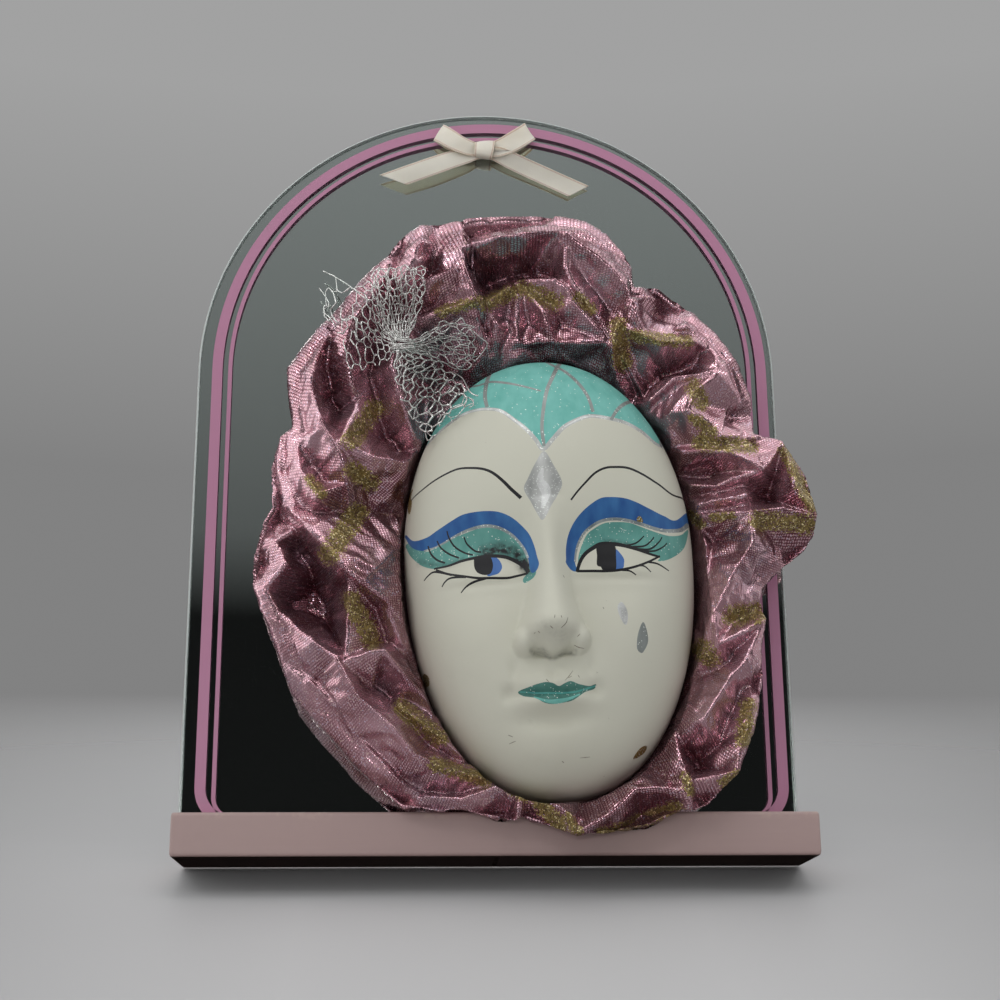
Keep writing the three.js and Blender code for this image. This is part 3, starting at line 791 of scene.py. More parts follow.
# Lines with their widths in millimetres at the start, middle and end
paintLines = [
    ("silver", (1.3, 1.9, 2.0), [capBorder]),
    # The cap's rays
    ("greySilver", (1.5, 1.9, 1.7), [
        [(487, 407), (485, 397), (486, 386), (489, 376), (495, 366), (504, 358)]]),
    ("greySilver", (1.4, 1.7, 2.2), [
        [(544, 446), (542, 424), (546, 394), (553, 376), (565, 362), (575, 355)]]),
    ("greySilver", (1.8, 1.8, 1.5), [
        [(520, 355), (534, 358), (550, 364), (564, 371), (578, 383), (588, 397), (593, 412)]]),
    ("greySilver", (1.3, 1.5, 0.8), [
        [(464, 392), (476, 386), (490, 382), (506, 383), (522, 386), (541, 391)]]),
    ("greySilver", (1.3, 1.9, 1.6), [[(611, 420), (618, 409), (629, 402), (645, 397), (652, 397)]]),
    ("greySilver", (1.0, 1.3, 1.3), [[(646, 409), (656, 428), (661, 447)]]),
    # Edges of the lids' colours, the lip and the forehead's diamond
    ("lidSilver", (0.6, 1.3, 1.0), [wingEdgeLeft]),
    ("lidSilver", (0.8, 1.3, 1.7), [wingEdgeRight]),
    ("teal", (0.5, 1.7, 0.5), [
        [(534, 697), (543, 700), (552, 701.5), (562, 700.5), (571, 698), (580, 694)]]),
    ("tealDark", (0.4, 0.9, 0.5), [
        [(520, 692), (537, 693), (551, 693), (563, 693), (579, 691), (595, 686)]]),
    ("palerSilver", (1.0, 4.6, 1.2), [[(543, 468), (540, 480), (546, 492), (542, 508)]]),
    ("palerSilver", (0.4, 1.3, 0.6), [capBorder[5:11]]),
    ("palerSilver", (0.4, 1.0, 0.4), [capBorder[14:18]]),
    # Brows
    ("black", (0.6, 1.0, 1.5), [
        [(411, 501), (421, 491), (434, 481), (446, 474), (458, 469), (470, 468), (483, 469), (493, 473),
         (503, 481), (511, 489), (521, 498)]]),
    ("black", (0.7, 1.1, 0.8), [
        [(571, 500), (577, 492), (585, 483), (595, 473), (605, 468), (615, 467), (628, 468), (642, 474),
         (658, 484), (675, 496), (687, 508)]]),
    # Upper and lower lids
    ("black", (0.7, 1.5, 1.6), [
        [(434, 569), (448, 566), (462, 561), (475, 558), (489, 556), (505, 557), (517, 562), (526, 568),
         (528, 573)]]),
    ("black", (1.3, 1.9, 0.9), [
        [(577, 572), (580, 562), (585, 554), (593, 548), (601, 544), (611, 544), (621, 545), (636, 549),
         (650, 554), (660, 557)]]),
    ("black", (0.8, 1.0, 0.9), [
        [(436, 570), (448, 574), (462, 576), (477, 578), (491, 578), (507, 578), (517, 576), (528, 573)]]),
    ("black", (1.1, 1.1, 0.8), [
        [(577, 571), (591, 571), (605, 571), (619, 570), (634, 567), (648, 562), (660, 556)]]),
    # Lashes
    ("black", (0.5, 0.75, 0.8), [
        [(428, 546), (431, 554), (437, 560), (445, 563)], [(437, 541), (441, 548), (449, 554), (459, 558)],
        [(447, 531), (449, 538), (455, 547), (465, 553), (473, 555)], [(464, 537), (467, 544), (475, 551),
         (481, 552)]]),
    ("black", (1.0, 0.9, 0.45), [
        [(452, 575), (435, 572), (428, 576), (424, 581)], [(466, 577), (451, 578), (445, 582), (442, 587)],
        [(487, 578), (474, 582), (466, 587), (461, 593)]]),
    ("black", (0.9, 0.75, 0.45), [
        [(624, 546), (636, 543), (644, 536)], [(630, 547), (644, 546), (651, 541), (654, 537)],
        [(636, 549), (650, 549), (659, 542), (662, 537)], [(640, 551), (654, 551), (663, 547),
         (667, 543)]]),
    ("black", (0.9, 0.7, 0.45), [
        [(622, 570), (630, 571), (636, 575)], [(636, 566), (644, 566), (651, 572)]]),
    ("black", (0.9, 0.75, 0.45), [[(648, 562), (658, 564), (669, 571)]]),
    # Scuffs and scratches
    ("scuff", (0.15, 0.32, 0.15), [
        [(555, 614.5), (554.5, 618)], [(561, 615), (562, 618)], [(568, 617), (566, 623), (561, 628)],
        [(550, 625.5), (553, 628.5)], [(534, 633.5), (535.5, 632.5)], [(538, 631), (540, 633)], [(563, 575),
         (564.5, 577.5)], [(574, 645), (579, 647.5), (584, 648.5)], [(577, 637), (580, 634)], [(565, 680.5),
         (569, 676), (573, 670.5)], [(568, 678), (572, 676)], [(578, 675), (579.5, 677.5)], [(546, 679),
         (549, 682)], [(508, 735), (513, 737)], [(509, 744), (516, 741)], [(562, 761), (564, 763)],
        [(580, 758), (590, 757)], [(603, 607), (604, 609)]]),
]
# Soft dark smears on the lids, and painted shade with some dirt in the crease under the nose: a line in
# pixels, its half width in millimetres and how dark it is
smearsAndShade = [
    ([(484, 553), (498, 549), (510, 551), (520, 558), (527, 568)], 2.7, 0.85),
    ([(420, 562), (440, 566), (462, 560)], 1.2, 0.35),
    ([(606, 541), (626, 544), (645, 551)], 1.0, 0.45),
    ([(543, 624), (553, 630), (562, 634)], 2.6, 0.10),
    # painted shade, with some dirt, along the crease under the nose
    ([(531, 651), (540, 652), (547, 656), (553, 659), (560, 656), (566, 654), (575, 653)], 0.9, 0.32),
]


def brushLine(pixels, widths):  # a closed outline round a tapered line, in s and t
    middle = smoothLine(spotsOnFace(pixels), 0.7)
    way = np.gradient(middle, axis=0)
    way /= np.linalg.norm(way, axis=1)[:, None]
    half = np.interp(np.linspace(0, 1, len(middle)), (0, 0.5, 1), np.array(widths) / 2)[:, None]
    off = np.stack([-way[:, 1], way[:, 0]], 1) * half
    return np.concatenate([middle + off, (middle - off)[::-1]])


def capOutline():  # goes on over the crown to beyond the rim
    line = smoothLine(spotsOnFace(capBorder), 0.8)
    far, wide = maskShape["crownRise"] + 15, maskShape["halfWidth"] + 15
    return np.concatenate([line, [[wide, line[-1][1]], [wide, far], [-wide, far], [-wide, line[0][1]]]])


def paintOutlines():
    outlines = [("teal", capOutline())]
    outlines += [(tint, smoothLine(spotsOnFace(pixels), 0.6, closed=True)) for tint, pixels in paintAreas]
    outlines += [(tint, brushLine(pixels, widths)) for tint, widths, lines in paintLines for pixels in lines]
    return outlines


def ringAt(height, angle):  # s and t round the plain dome at one height
    edge = domeGauge(height) / rimGauge(np.cos(angle), np.sin(angle))
    return np.stack([edge * np.cos(angle), edge * np.sin(angle)], 1)


def faceGrid(inner):  # staggered spots over the face within a rim gauge, closer at the nose and mouth
    grain = maskShape["grain"]
    i, j = np.meshgrid(np.arange(-60, 61), np.arange(-100, 101))
    grid = np.stack([((i + 0.5 * (j % 2)) * grain).ravel(), (j * grain * 0.87).ravel()], 1)
    grid += (scatter(grid[:, 0], grid[:, 1], 3)[:, None] - 0.5) * 0.3
    half, low, high = maskShape["finer"]
    detailed = grid[(np.abs(grid[:, 0]) < half) & (grid[:, 1] > low) & (grid[:, 1] < high)]
    between = [(grain * 0.5, 0), (grain * 0.25, grain * 0.43), (-grain * 0.25, grain * 0.43)]
    grid = np.concatenate([grid] + [detailed + shift for shift in between])
    return grid[rimGauge(*grid.T) < inner]


def faceMesh(outlines):  # flat triangles in s and t with every paint edge in them, out to the steep side
    turns = maskShape["turns"]
    heights = np.arange(maskShape["sideTop"], maskShape["ringTop"], maskShape["ringStep"])
    rings = [ringAt(height, np.arange(turns) * 2 * math.pi / turns) for height in heights]
    points = [rings[0]]
    edges = [np.stack([np.arange(turns), (np.arange(turns) + 1) % turns], 1)]
    total = turns
    for _, outline in outlines:
        within = rimGauge(*outline.T) < domeGauge(maskShape["sideTop"] + 2)
        here = np.arange(len(outline))
        after = (here + 1) % len(outline)
        both = within & within[after]
        edges.append(np.stack([here[both], after[both]], 1) + total)
        points.append(np.where(within[:, None], outline, outline[within][0] if within.any() else 0))
        total += len(outline)
    points = np.concatenate(points + rings[1:] + [faceGrid(domeGauge(heights[-1]) - 0.012)])
    spots, _, triangles, _, _, _ = delaunay_2d_cdt(
        [Vector(p) for p in points.tolist()], [tuple(e) for e in np.concatenate(edges).tolist()],
        [], 0, 0.01, False)
    return np.array([tuple(p) for p in spots]), np.array(triangles)


def edgeLoop(triangles):  # the vertices round the open edge, in order
    sides = np.concatenate([triangles[:, [0, 1]], triangles[:, [1, 2]], triangles[:, [2, 0]]])
    known = set(map(tuple, sides.tolist()))
    after = {a: b for a, b in known if (b, a) not in known}
    loop = [min(after)]
    while after[loop[-1]] != loop[0]:
        loop.append(after[loop[-1]])
    return loop


def zipLoops(first, second, angleOf):  # triangles between two loops of unlike counts
    first = sorted(first, key=angleOf)
    second = sorted(second, key=angleOf)
    faces = []
    i = j = 0
    while i < len(first) or j < len(second):
        a, b = first[i % len(first)], second[j % len(second)]
        nextA, nextB = first[(i + 1) % len(first)], second[(j + 1) % len(second)]
        forwardA = angleOf(nextA) + (2 * math.pi if i + 1 >= len(first) else 0)
        forwardB = angleOf(nextB) + (2 * math.pi if j + 1 >= len(second) else 0)
        if j >= len(second) or (i < len(first) and forwardA <= forwardB):
            faces.append((a, nextA, b))
            i += 1
        else:
            faces.append((a, nextB, b))
            j += 1
    return faces


def steepSide(spots, loop):  # rows of points from the triangles' edge down to the rim, and their heights
    angle = np.arctan2(spots[loop, 1], spots[loop, 0])
    levels = np.linspace(maskShape["sideTop"], 0, maskShape["sideRows"] + 1)[1:]
    return np.concatenate([ringAt(level, angle) for level in levels]), np.repeat(levels, len(loop))


def innerSkin(start):  # rings from the rim to the middle: s and t, heights and faces
    rows, turns = maskShape["innerRows"], maskShape["innerTurns"]
    angle = np.arange(turns) * 2 * math.pi / turns
    gauge = np.sin(np.linspace(math.pi / 2, 0.02, rows))[:, None]
    reach = 1 / rimGauge(np.cos(angle), np.sin(angle)) - maskShape["wall"]
    s, t = (gauge * reach * np.cos(angle)).ravel(), (gauge * reach * np.sin(angle)).ravel()
    hollow = insideHeight(s, t)
    hollow[:turns] = 0
    faces = (gridFaces(rows, turns, closedColumns=True) + start).tolist()
    faces.append([start + (rows - 1) * turns + k for k in range(turns)])
    return np.stack([s, t], 1), hollow, faces


def tintsOf(middles, outlines, tints):  # which paint each face has
    found = np.zeros(len(middles), int)
    for tint, outline in outlines:
        near = np.flatnonzero(((middles > outline.min(0)) & (middles < outline.max(0))).all(1))
        found[near[inside(middles[near], outline)]] = tints.index(tint)
    return found


def hollowDirtAndShadeShare(spots, height):  # how deep each place of the skin lies in its surroundings, for the dirt and the painted shade in its hollows
    around = [faceHeight(spots[:, 0] + 4 * math.cos(a), spots[:, 1] + 4 * math.sin(a))
              for a in np.arange(8) * math.pi / 4]
    return np.clip((np.mean(around, 0) - height) * 1.1, 0, 1) * (rimGauge(*spots.T) < 0.93)


def smudgeAndShadeShare(spots):  # how dark the smears and the painted crease shade are at each place of the outer skin
    smudgeAndShade = np.zeros(len(spots))
    for pixels, half, dark in smearsAndShade:
        line = smoothLine(spotsOnFace(pixels), 1.0)
        smudgeAndShade = np.maximum(smudgeAndShade, dark * bump(offLine(spots, line)[0], half))
    return smudgeAndShade


def makeMask():
    outlines = paintOutlines()
    spots, triangles = faceMesh(outlines)
    loop = edgeLoop(triangles)
    foot, levels = steepSide(spots, loop)
    index = np.concatenate([loop, np.arange(len(spots), len(spots) + len(foot))])
    sideFaces = index[gridFaces(maskShape["sideRows"] + 1, len(loop), closedColumns=True)]
    height = np.concatenate([faceHeight(*spots.T), levels])
    sideMiddles = spots[np.resize(loop, len(sideFaces))] * 0.999
    spots = np.concatenate([spots, foot])
    rim = list(range(len(spots) - len(loop), len(spots)))

    tints = ["bisque"] + sorted({tint for tint, _ in outlines})
    tintOf = tintsOf(np.concatenate([spots[triangles].mean(1), sideMiddles]), outlines, tints)
    start = len(spots)
    innerSpots, hollow, innerFaces = innerSkin(start)
    flat = np.concatenate([spots, innerSpots])
    rimFaces = zipLoops(rim, list(range(start, start + maskShape["innerTurns"])),
                        lambda k: math.atan2(flat[k, 1], flat[k, 0]) % (2 * math.pi))
    none = np.zeros(len(innerSpots))
    faces = triangles.tolist() + sideFaces.tolist() + rimFaces + innerFaces
    tintOf = np.concatenate([tintOf, np.zeros(len(rimFaces) + len(innerFaces), int)])
    # The hollow share paints dirt and shade into the bisque's hollows
    piece = makePiece(
        "painted_mask", onMask(*flat.T, np.concatenate([height, hollow])), faces,
        [finish[tint] for tint in tints], tintOf,
        values={"hollow": np.concatenate([hollowDirtAndShadeShare(spots, height), none]),
                "smudgeAndShade": np.concatenate([smudgeAndShadeShare(spots), none])})
    outwardFaces(piece)
    return settle(piece, "ceramic", "mask")


maskPiece = makeMask()
print("Mask made,", len(maskPiece.data.polygons), "faces")


# Mirror: clear glass, its silvering behind it, and two printed lines on its front

boardLow, boardHigh = (np.array(corner) * 1000 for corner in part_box("base_board"))
mirrorLow, mirrorHigh = (np.array(corner) * 1000 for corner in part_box("mirror_plate"))
mirrorShape = {
    "halfWidth": (mirrorHigh[0] - mirrorLow[0]) / 2,
    "centreX": (mirrorHigh[0] + mirrorLow[0]) / 2,
    "front": mirrorLow[1], "back": mirrorHigh[1], "foot": mirrorLow[2], "top": mirrorHigh[2],
    "groundEdge": 0.9,                      # the arrised edge of the glass
    "backing": 0.25,                        # thickness of silver and paint, inside the sheet's 3 mm
    "lines": [(4.85, 9.45, 14.0), (12.0, 13.8, 8.7)],  # each from and to, in from the edge, lower corner
    "linesAside": 1.5,                      # the print lies a little to the right
    "lineThick": 0.05,
    "lineKeyed": 0.02,                      # into the glass
    "lineFoot": boardHigh[2] + 1.1,         # lowest edge of the narrow line, at the board
    "arcSteps": 160,
}
mirrorShape["spring"] = mirrorShape["top"] - mirrorShape["halfWidth"]


def archOutline(inset, foot, corner=0.0):  # (x, z), anticlockwise from the lower left
    wide = mirrorShape["halfWidth"] - inset
    turn = np.linspace(0, math.pi, mirrorShape["arcSteps"] + 1)
    arc = np.stack([wide * np.cos(turn), mirrorShape["spring"] + wide * np.sin(turn)], 1)
    right = np.array([[wide, foot]])
    if corner:
        bend = np.linspace(0, math.pi / 2, 13)
        right = np.stack([wide - corner + corner * np.sin(bend), foot + corner - corner * np.cos(bend)], 1)
    outline = np.concatenate([right[::-1] * (-1, 1), right, arc])
    outline[:, 0] += mirrorShape["centreX"]
    return outline


def ringPoints(rings):  # each [outline, y]
    return np.concatenate([np.stack([o[:, 0], np.full(len(o), y), o[:, 1]], 1) for o, y in rings])


def makeSlab(name, rings, materials, side, ends):  # closed body through outlines of equal count
    count = len(rings[0][0])
    faces = tubeFaces(len(rings), count, -1)
    piece = makePiece(name, ringPoints(rings), faces, [finish[key] for key in materials],
                      [side] * (len(rings) - 1) * count + ends, smooth=False)
    outwardFaces(piece)
    return piece


def makeMirror():
    m = mirrorShape
    edge, deep = m["groundEdge"], m["back"] - m["backing"]
    within, whole = archOutline(edge, m["foot"] + edge), archOutline(0.0, m["foot"])
    rings = [(within, m["front"]), (archOutline(0.25, m["foot"] + 0.25), m["front"] + edge * 0.4),
             (whole, m["front"] + edge), (whole, deep - edge), (within, deep - 0.02)]
    sheet = makeSlab("mirror_sheet", rings, ["glass", "groundGlass"], 1, [0, 0])
    settle(sheet, "mirror_glass", "mirror_plate")
    backRings = [(within, deep), (within, m["back"])]
    backing = makeSlab("mirror_backing", backRings, ["backPaint", "silvering"], 0, [1, 0])
    settle(backing, "mirror_glass")

    for name, (start, end, corner) in zip(("outer_printed_line", "inner_printed_line"), m["lines"]):
        outerRing = archOutline(start, m["lineFoot"] - (end - start), corner + (end - start) / 2)
        innerRing = archOutline(end, m["lineFoot"], corner - (end - start) / 2)
        for ring in (outerRing, innerRing):
            ring[:, 0] += m["linesAside"]
        y0, y1 = m["front"] + m["lineKeyed"], m["front"] - m["lineThick"]
        points = ringPoints([(outerRing, y0), (outerRing, y1), (innerRing, y1), (innerRing, y0)])
        faces = gridFaces(4, len(outerRing), closedRows=True, closedColumns=True)
        line = makePiece(name, points, faces, [finish["stripe"]], smooth=False)
        outwardFaces(line)
        settle(line, "mirror_glass")


# Board: a planed strip with softened, rubbed edges and a groove for the glass

boardShape = {
    "edge": 1.6,        # rounding of its long edges
    "endEdge": 1.1,     # and of its ends
    "groove": 0.3,      # slack each side of the glass
    "stations": 150,
    "wave": 0.12,       # how uneven the planed and painted surface is
    "waveSize": (23, 9, 7),
    "rubbed": 2.2,      # how far the rubbing reaches from an edge
}


def boardSection():  # (y, z) round the section, anticlockwise seen from the viewer's right
    halfDepth = (boardHigh[1] - boardLow[1]) / 2
    top, edge = boardHigh[2], boardShape["edge"]
    halfGroove = (mirrorShape["back"] - mirrorShape["front"]) / 2 + boardShape["groove"]
    grooveFloor = mirrorShape["foot"] - boardShape["groove"]
    turn = np.linspace(0, math.pi / 2, 6)

    def bend(y, z, start):
        return np.stack([y + edge * np.cos(turn + start), z + edge * np.sin(turn + start)], 1)

    def run(y0, z0, y1, z1, count):
        return np.stack([np.linspace(y0, y1, count), np.linspace(z0, z1, count)], 1)[1:-1]

    inner = halfDepth - edge
    return np.concatenate([
        bend(inner, edge, -math.pi / 2), run(halfDepth, edge, halfDepth, top - edge, 8),
        bend(inner, top - edge, 0), run(inner, top, halfGroove, top, 10),
        [[halfGroove, top], [halfGroove, grooveFloor], [-halfGroove, grooveFloor], [-halfGroove, top]],
        run(-halfGroove, top, -inner, top, 10), bend(-inner, top - edge, math.pi / 2),
        run(-halfDepth, top - edge, -halfDepth, edge, 8), bend(-inner, edge, math.pi),
        run(-inner, 0, inner, 0, 16)])


def boardStations():  # places along the board, and how far the section is inset there
    low, high, rounding = boardLow[0], boardHigh[0], boardShape["endEdge"]
    turn = np.linspace(0, math.pi / 2, 5)
    ends, inward = rounding * (1 - np.cos(turn)), rounding * (1 - np.sin(turn))
    between = np.linspace(low + ends[-1], high - ends[-1], boardShape["stations"])[1:-1]
    return (np.concatenate([low + ends, between, (high - ends)[::-1]]),
            np.concatenate([inward, np.zeros(len(between)), inward[::-1]]))


def makeBoard():
    section = boardSection()
    stations, insets = boardStations()
    middle = np.array([0, (boardLow[2] + boardHigh[2]) / 2])
    halves = np.array([boardHigh[1], (boardHigh[2] - boardLow[2]) / 2])
    points = np.concatenate([
        np.column_stack([np.full(len(section), x), middle + (section - middle) * (1 - inset / halves)])
        for x, inset in zip(stations, insets)])
    along, across, high = boardShape["waveSize"]
    uneven = softNoise(points[:, 0] / along, points[:, 1] / across + points[:, 2] / high, 5)
    uneven = boardShape["wave"] * (uneven - 1) / 2
    level = (points[:, 2] > 0.8) & (np.abs(points[:, 1]) > 4)
    outward = np.sign(points[:, 1]) * (np.abs(points[:, 1]) > 19)
    points[:, 1] += np.where(level, uneven * outward, 0)
    fromFront = np.minimum(np.abs(np.abs(points[:, 1]) - boardHigh[1]), 4)
    fromTop = np.minimum(np.abs(points[:, 2] - boardHigh[2]), 4)
    corner = np.minimum(fromFront + fromTop, np.abs(np.abs(points[:, 0]) - boardHigh[0]) + 1.0)
    faces = tubeFaces(len(stations), len(section), -1)
    piece = makePiece("painted_board", points, faces, [finish["board"]],
                      values={"edge": bump(corner, boardShape["rubbed"])})
    outwardFaces(piece)
    return settle(piece, "painted_wood", "base_board")


makeMirror()
makeBoard()
print("Mirror and board made")


# Collar: one strip of lame, gathered along both edges and laid in crisp folds round the mask

collarShape = {
    "around": 620, "front": 84, "back": 20,  # threads of the mesh, round the ring and across it
    "meanRadius": 115.0,
    "inner": 0.6,                    # from the mask's side
    "tuck": 5.5,                     # how far the gathered edge goes behind the mask's rim
    "tuckOut": 6.5,                  # and how far it stands from the glass there
    "turn": 7.0,                     # roundness of the outer edge
    "crest": 0.35,                   # roundness of the folds
    "steeper": 1.35,                 # than the slopes listed with the folds
    "floor": 12.0,                   # of the valleys between them
    "overBoard": 1.3,                # kept in front of the board
    "innerSlope": 9.0,               # of the cloth beside the mask
    "home": 2.2,                     # where the back edge lies, from the glass
    "pixelSize": 0.43,               # of the photograph on the collar, for the glitter strokes
}

# The cloth's simulation: it has more length than the folds need, and takes it up in small creases
collarCloth = {
    "scale": 10.0,       # the solver works on a larger copy
    "frames": 12,
    "spare": 0.035,      # extra length, as a share
    "bending": 1.0,
    "hold": 0.12,        # how firmly the cloth keeps to its folds
    "holdCrests": 0.8,
    "holdSides": 0.6,    # beside the mask and at the outer edge
    "weights": 25,       # steps of holding
}

# The outer edge in the photograph's pixels, and how far it stands from the glass there
collarEdge = [
    (418, 227, 24), (444, 225, 24), (462, 222, 24), (466, 219, 24), (500, 217, 24), (536, 217, 24),
    (566, 219, 24), (586, 223, 24), (605, 235, 24), (624, 255, 24), (631, 268, 25), (633, 288, 24),
    (658, 289, 24), (671, 300, 24), (695, 315, 24), (713, 333, 26), (726, 348, 28), (739, 367, 26),
    (750, 396, 24), (752, 420, 24), (754, 436, 26), (773, 438, 30), (783, 441, 33), (795, 461, 32),
    (806, 478, 32), (817, 515, 34), (813, 537, 30), (804, 550, 28), (784, 567, 26), (772, 578, 26),
    (762, 591, 26), (760, 602, 28), (767, 620, 32), (762, 642, 30), (762, 677, 30), (758, 714, 30),
    (753, 734, 30), (743, 759, 31), (740, 772, 33), (723, 789, 33), (708, 804, 33), (694, 810, 33),
    (681, 810, 33), (649, 824, 32), (611, 831, 32), (594, 833, 32), (576, 836, 33), (559, 829, 31),
    (541, 822, 31), (524, 817, 30), (516, 820, 31), (494, 817, 30), (462, 810, 30), (440, 811, 30),
    (420, 808, 29), (403, 807, 28), (394, 800, 27), (371, 781, 25), (349, 762, 24), (321, 730, 24),
    (292, 695, 24), (280, 661, 24), (266, 623, 25), (253, 588, 26), (254, 560, 25), (264, 522, 25),
    (273, 507, 24), (272, 468, 22), (280, 437, 22), (292, 430, 24), (289, 402, 24), (286, 370, 24),
    (311, 336, 24), (329, 318, 24), (345, 300, 24), (365, 276, 24), (386, 258, 26), (403, 238, 26)]

# Folds: how steeply the cloth falls away on the left and on the right of the way along, then the crest's
# points in pixels with their distance from the glass
collarFolds = [
    # top
    (1.3, 1.9, [(463, 247, 40), (499, 236, 43), (527, 233, 44), (563, 228, 44)]),
    (1.0, 0.9, [
        (563, 228, 44), (573, 238, 44), (601, 257, 44), (616, 272, 43), (631, 292, 42), (637, 318, 40),
        (651, 346, 34)]),
    (0.45, 1.9, [
        (563, 228, 44), (565, 242, 42), (566, 266, 39), (573, 283, 38), (592, 309, 36), (610, 335, 34)]),
    (1.6, 0.8, [
        (511, 281, 25), (529, 279, 32), (555, 279, 37), (566, 286, 37), (579, 307, 36), (598, 327, 35),
        (610, 342, 32)]),
    (0.7, 1.4, [(520, 286, 27), (533, 298, 32), (544, 312, 34), (549, 331, 33), (555, 342, 31)]),
    (0.4, 3.0, [(555, 342, 32), (583, 343, 34), (610, 342, 33)]),
    (0.9, 1.2, [(418, 227, 34), (419, 238, 38), (414, 257, 38), (400, 280, 38)]),
    (1.8, 0.9, [(429, 279, 37), (453, 268, 41), (464, 266, 42), (470, 280, 42), (475, 294, 40)]),
    (3.5, 0.7, [(463, 226, 34), (463, 247, 41), (466, 266, 43), (475, 294, 41)]),
    (1.2, 1.1, [(414, 320, 32), (444, 309, 37), (477, 298, 40), (488, 301, 36), (510, 285, 31)]),
    (1.0, 1.0, [(485, 305, 33), (497, 325, 31), (493, 345, 26)]),
    (0.6, 0.6, [(518, 296, 29), (518, 340, 26)]),
    (1.0, 1.0, [(502, 305, 28), (478, 360, 24)]),
    # left, under and beside the net
    (1.7, 0.9, [
        (325, 330, 34), (313, 361, 40), (310, 389, 43), (321, 421, 44), (340, 452, 44), (347, 481, 42)]),
    (1.0, 1.0, [(359, 399, 33), (354, 412, 36), (340, 440, 43)]),
    (1.0, 1.0, [(388, 262, 34), (372, 290, 40), (352, 318, 41), (345, 350, 40), (352, 385, 36)]),
    (1.0, 1.0, [(400, 330, 38), (392, 365, 38), (402, 400, 34), (412, 430, 28)]),
    (0.9, 0.8, [(340, 440, 43), (371, 456, 40), (403, 462, 32), (412, 459, 28)]),
    (0.9, 1.3, [(292, 432, 30), (299, 468, 38), (318, 494, 42), (346, 484, 41)]),
    (0.6, 2.2, [
        (280, 437, 24), (278, 471, 28), (292, 512, 36), (311, 528, 42), (340, 563, 45), (362, 582, 43),
        (387, 601, 37), (407, 626, 28)]),
    (1.5, 0.9, [
        (292, 531, 32), (275, 541, 32), (286, 563, 36), (264, 588, 33), (273, 613, 37), (305, 636, 42),
        (336, 657, 45), (355, 692, 46), (393, 727, 44), (415, 755, 41), (445, 768, 37), (484, 778, 32)]),
    (0.7, 2.0, [(349, 572, 41), (349, 604, 39), (346, 658, 39)]),
    (1.6, 0.7, [(346, 660, 43), (371, 651, 41), (384, 650, 39), (412, 683, 33), (434, 708, 28)]),
    (1.1, 1.3, [
        (280, 661, 28), (308, 683, 36), (340, 717, 40), (349, 740, 38), (377, 762, 36), (415, 793, 31)]),
    (0.9, 0.9, [(384, 596, 36), (400, 640, 30)]),
    # bottom
    (0.9, 0.9, [(400, 707, 32), (420, 720, 32), (445, 740, 30), (462, 756, 26)]),
    (1.9, 0.8, [(425, 796, 32), (462, 799, 35), (495, 786, 34), (522, 785, 35)]),
    (0.9, 1.8, [(522, 786, 35), (519, 809, 34), (517, 818, 32)]),
    (1.2, 0.8, [(524, 785, 35), (549, 799, 37), (572, 816, 38), (574, 832, 36)]),
    (0.8, 1.2, [
        (574, 834, 35), (611, 814, 37), (636, 789, 39), (659, 789, 37), (681, 791, 37), (689, 800, 36)]),
    # lower right
    (1.5, 0.8, [(674, 729, 29), (681, 759, 36), (691, 784, 39), (691, 804, 36)]),
    (1.0, 0.9, [(765, 621, 35), (748, 659, 39), (731, 677, 39), (704, 719, 41)]),
    (1.2, 1.2, [(681, 696, 30), (704, 719, 41)]),
    (1.0, 0.8, [(753, 699, 36), (751, 729, 38), (741, 766, 38)]),
    (1.9, 0.8, [(693, 779, 37), (718, 776, 39), (741, 770, 38)]),
    (0.8, 1.8, [(718, 645, 40), (743, 632, 40), (766, 620, 36)]),
    (0.9, 0.9, [(716, 646, 38), (700, 655, 34), (693, 668, 28)]),
    # right
    (0.8, 0.9, [(752, 515, 42), (754, 541, 44), (734, 573, 45), (716, 610, 43), (718, 645, 40)]),
    (1.6, 0.7, [(704, 515, 33), (730, 513, 38), (752, 511, 42), (784, 508, 42), (816, 515, 37)]),
    (0.9, 1.4, [(783, 443, 36), (791, 465, 39), (795, 487, 40), (816, 515, 37)]),
    (0.6, 1.9, [
        (676, 454, 31), (704, 450, 37), (730, 452, 41), (752, 461, 43), (763, 469, 42), (783, 443, 36)]),
    (1.0, 1.7, [(689, 485, 28), (717, 486, 34), (734, 478, 37), (762, 470, 41)]),
    (0.9, 0.9, [(693, 506, 29), (713, 500, 34), (745, 495, 38)]),
    (0.5, 0.9, [
        (717, 374, 41), (695, 391, 42), (689, 409, 42), (702, 417, 42), (721, 435, 41), (752, 437, 33)]),
    (1.8, 1.3, [(650, 400, 29), (674, 378, 37), (713, 370, 41), (717, 374, 41)]),
    (0.7, 2.4, [(615, 322, 35), (639, 333, 39), (661, 341, 42), (693, 342, 43)]),
    (0.9, 2.0, [(680, 328, 39), (691, 325, 41), (719, 344, 40), (736, 366, 34)]),
    (0.6, 0.8, [(719, 344, 40), (717, 374, 41)]),
    (0.7, 1.8, [(618, 322, 38), (612, 345, 35), (614, 368, 27)]),
    (0.8, 0.8, [(692, 520, 31), (700, 545, 35), (704, 580, 37), (705, 612, 36)]),
]
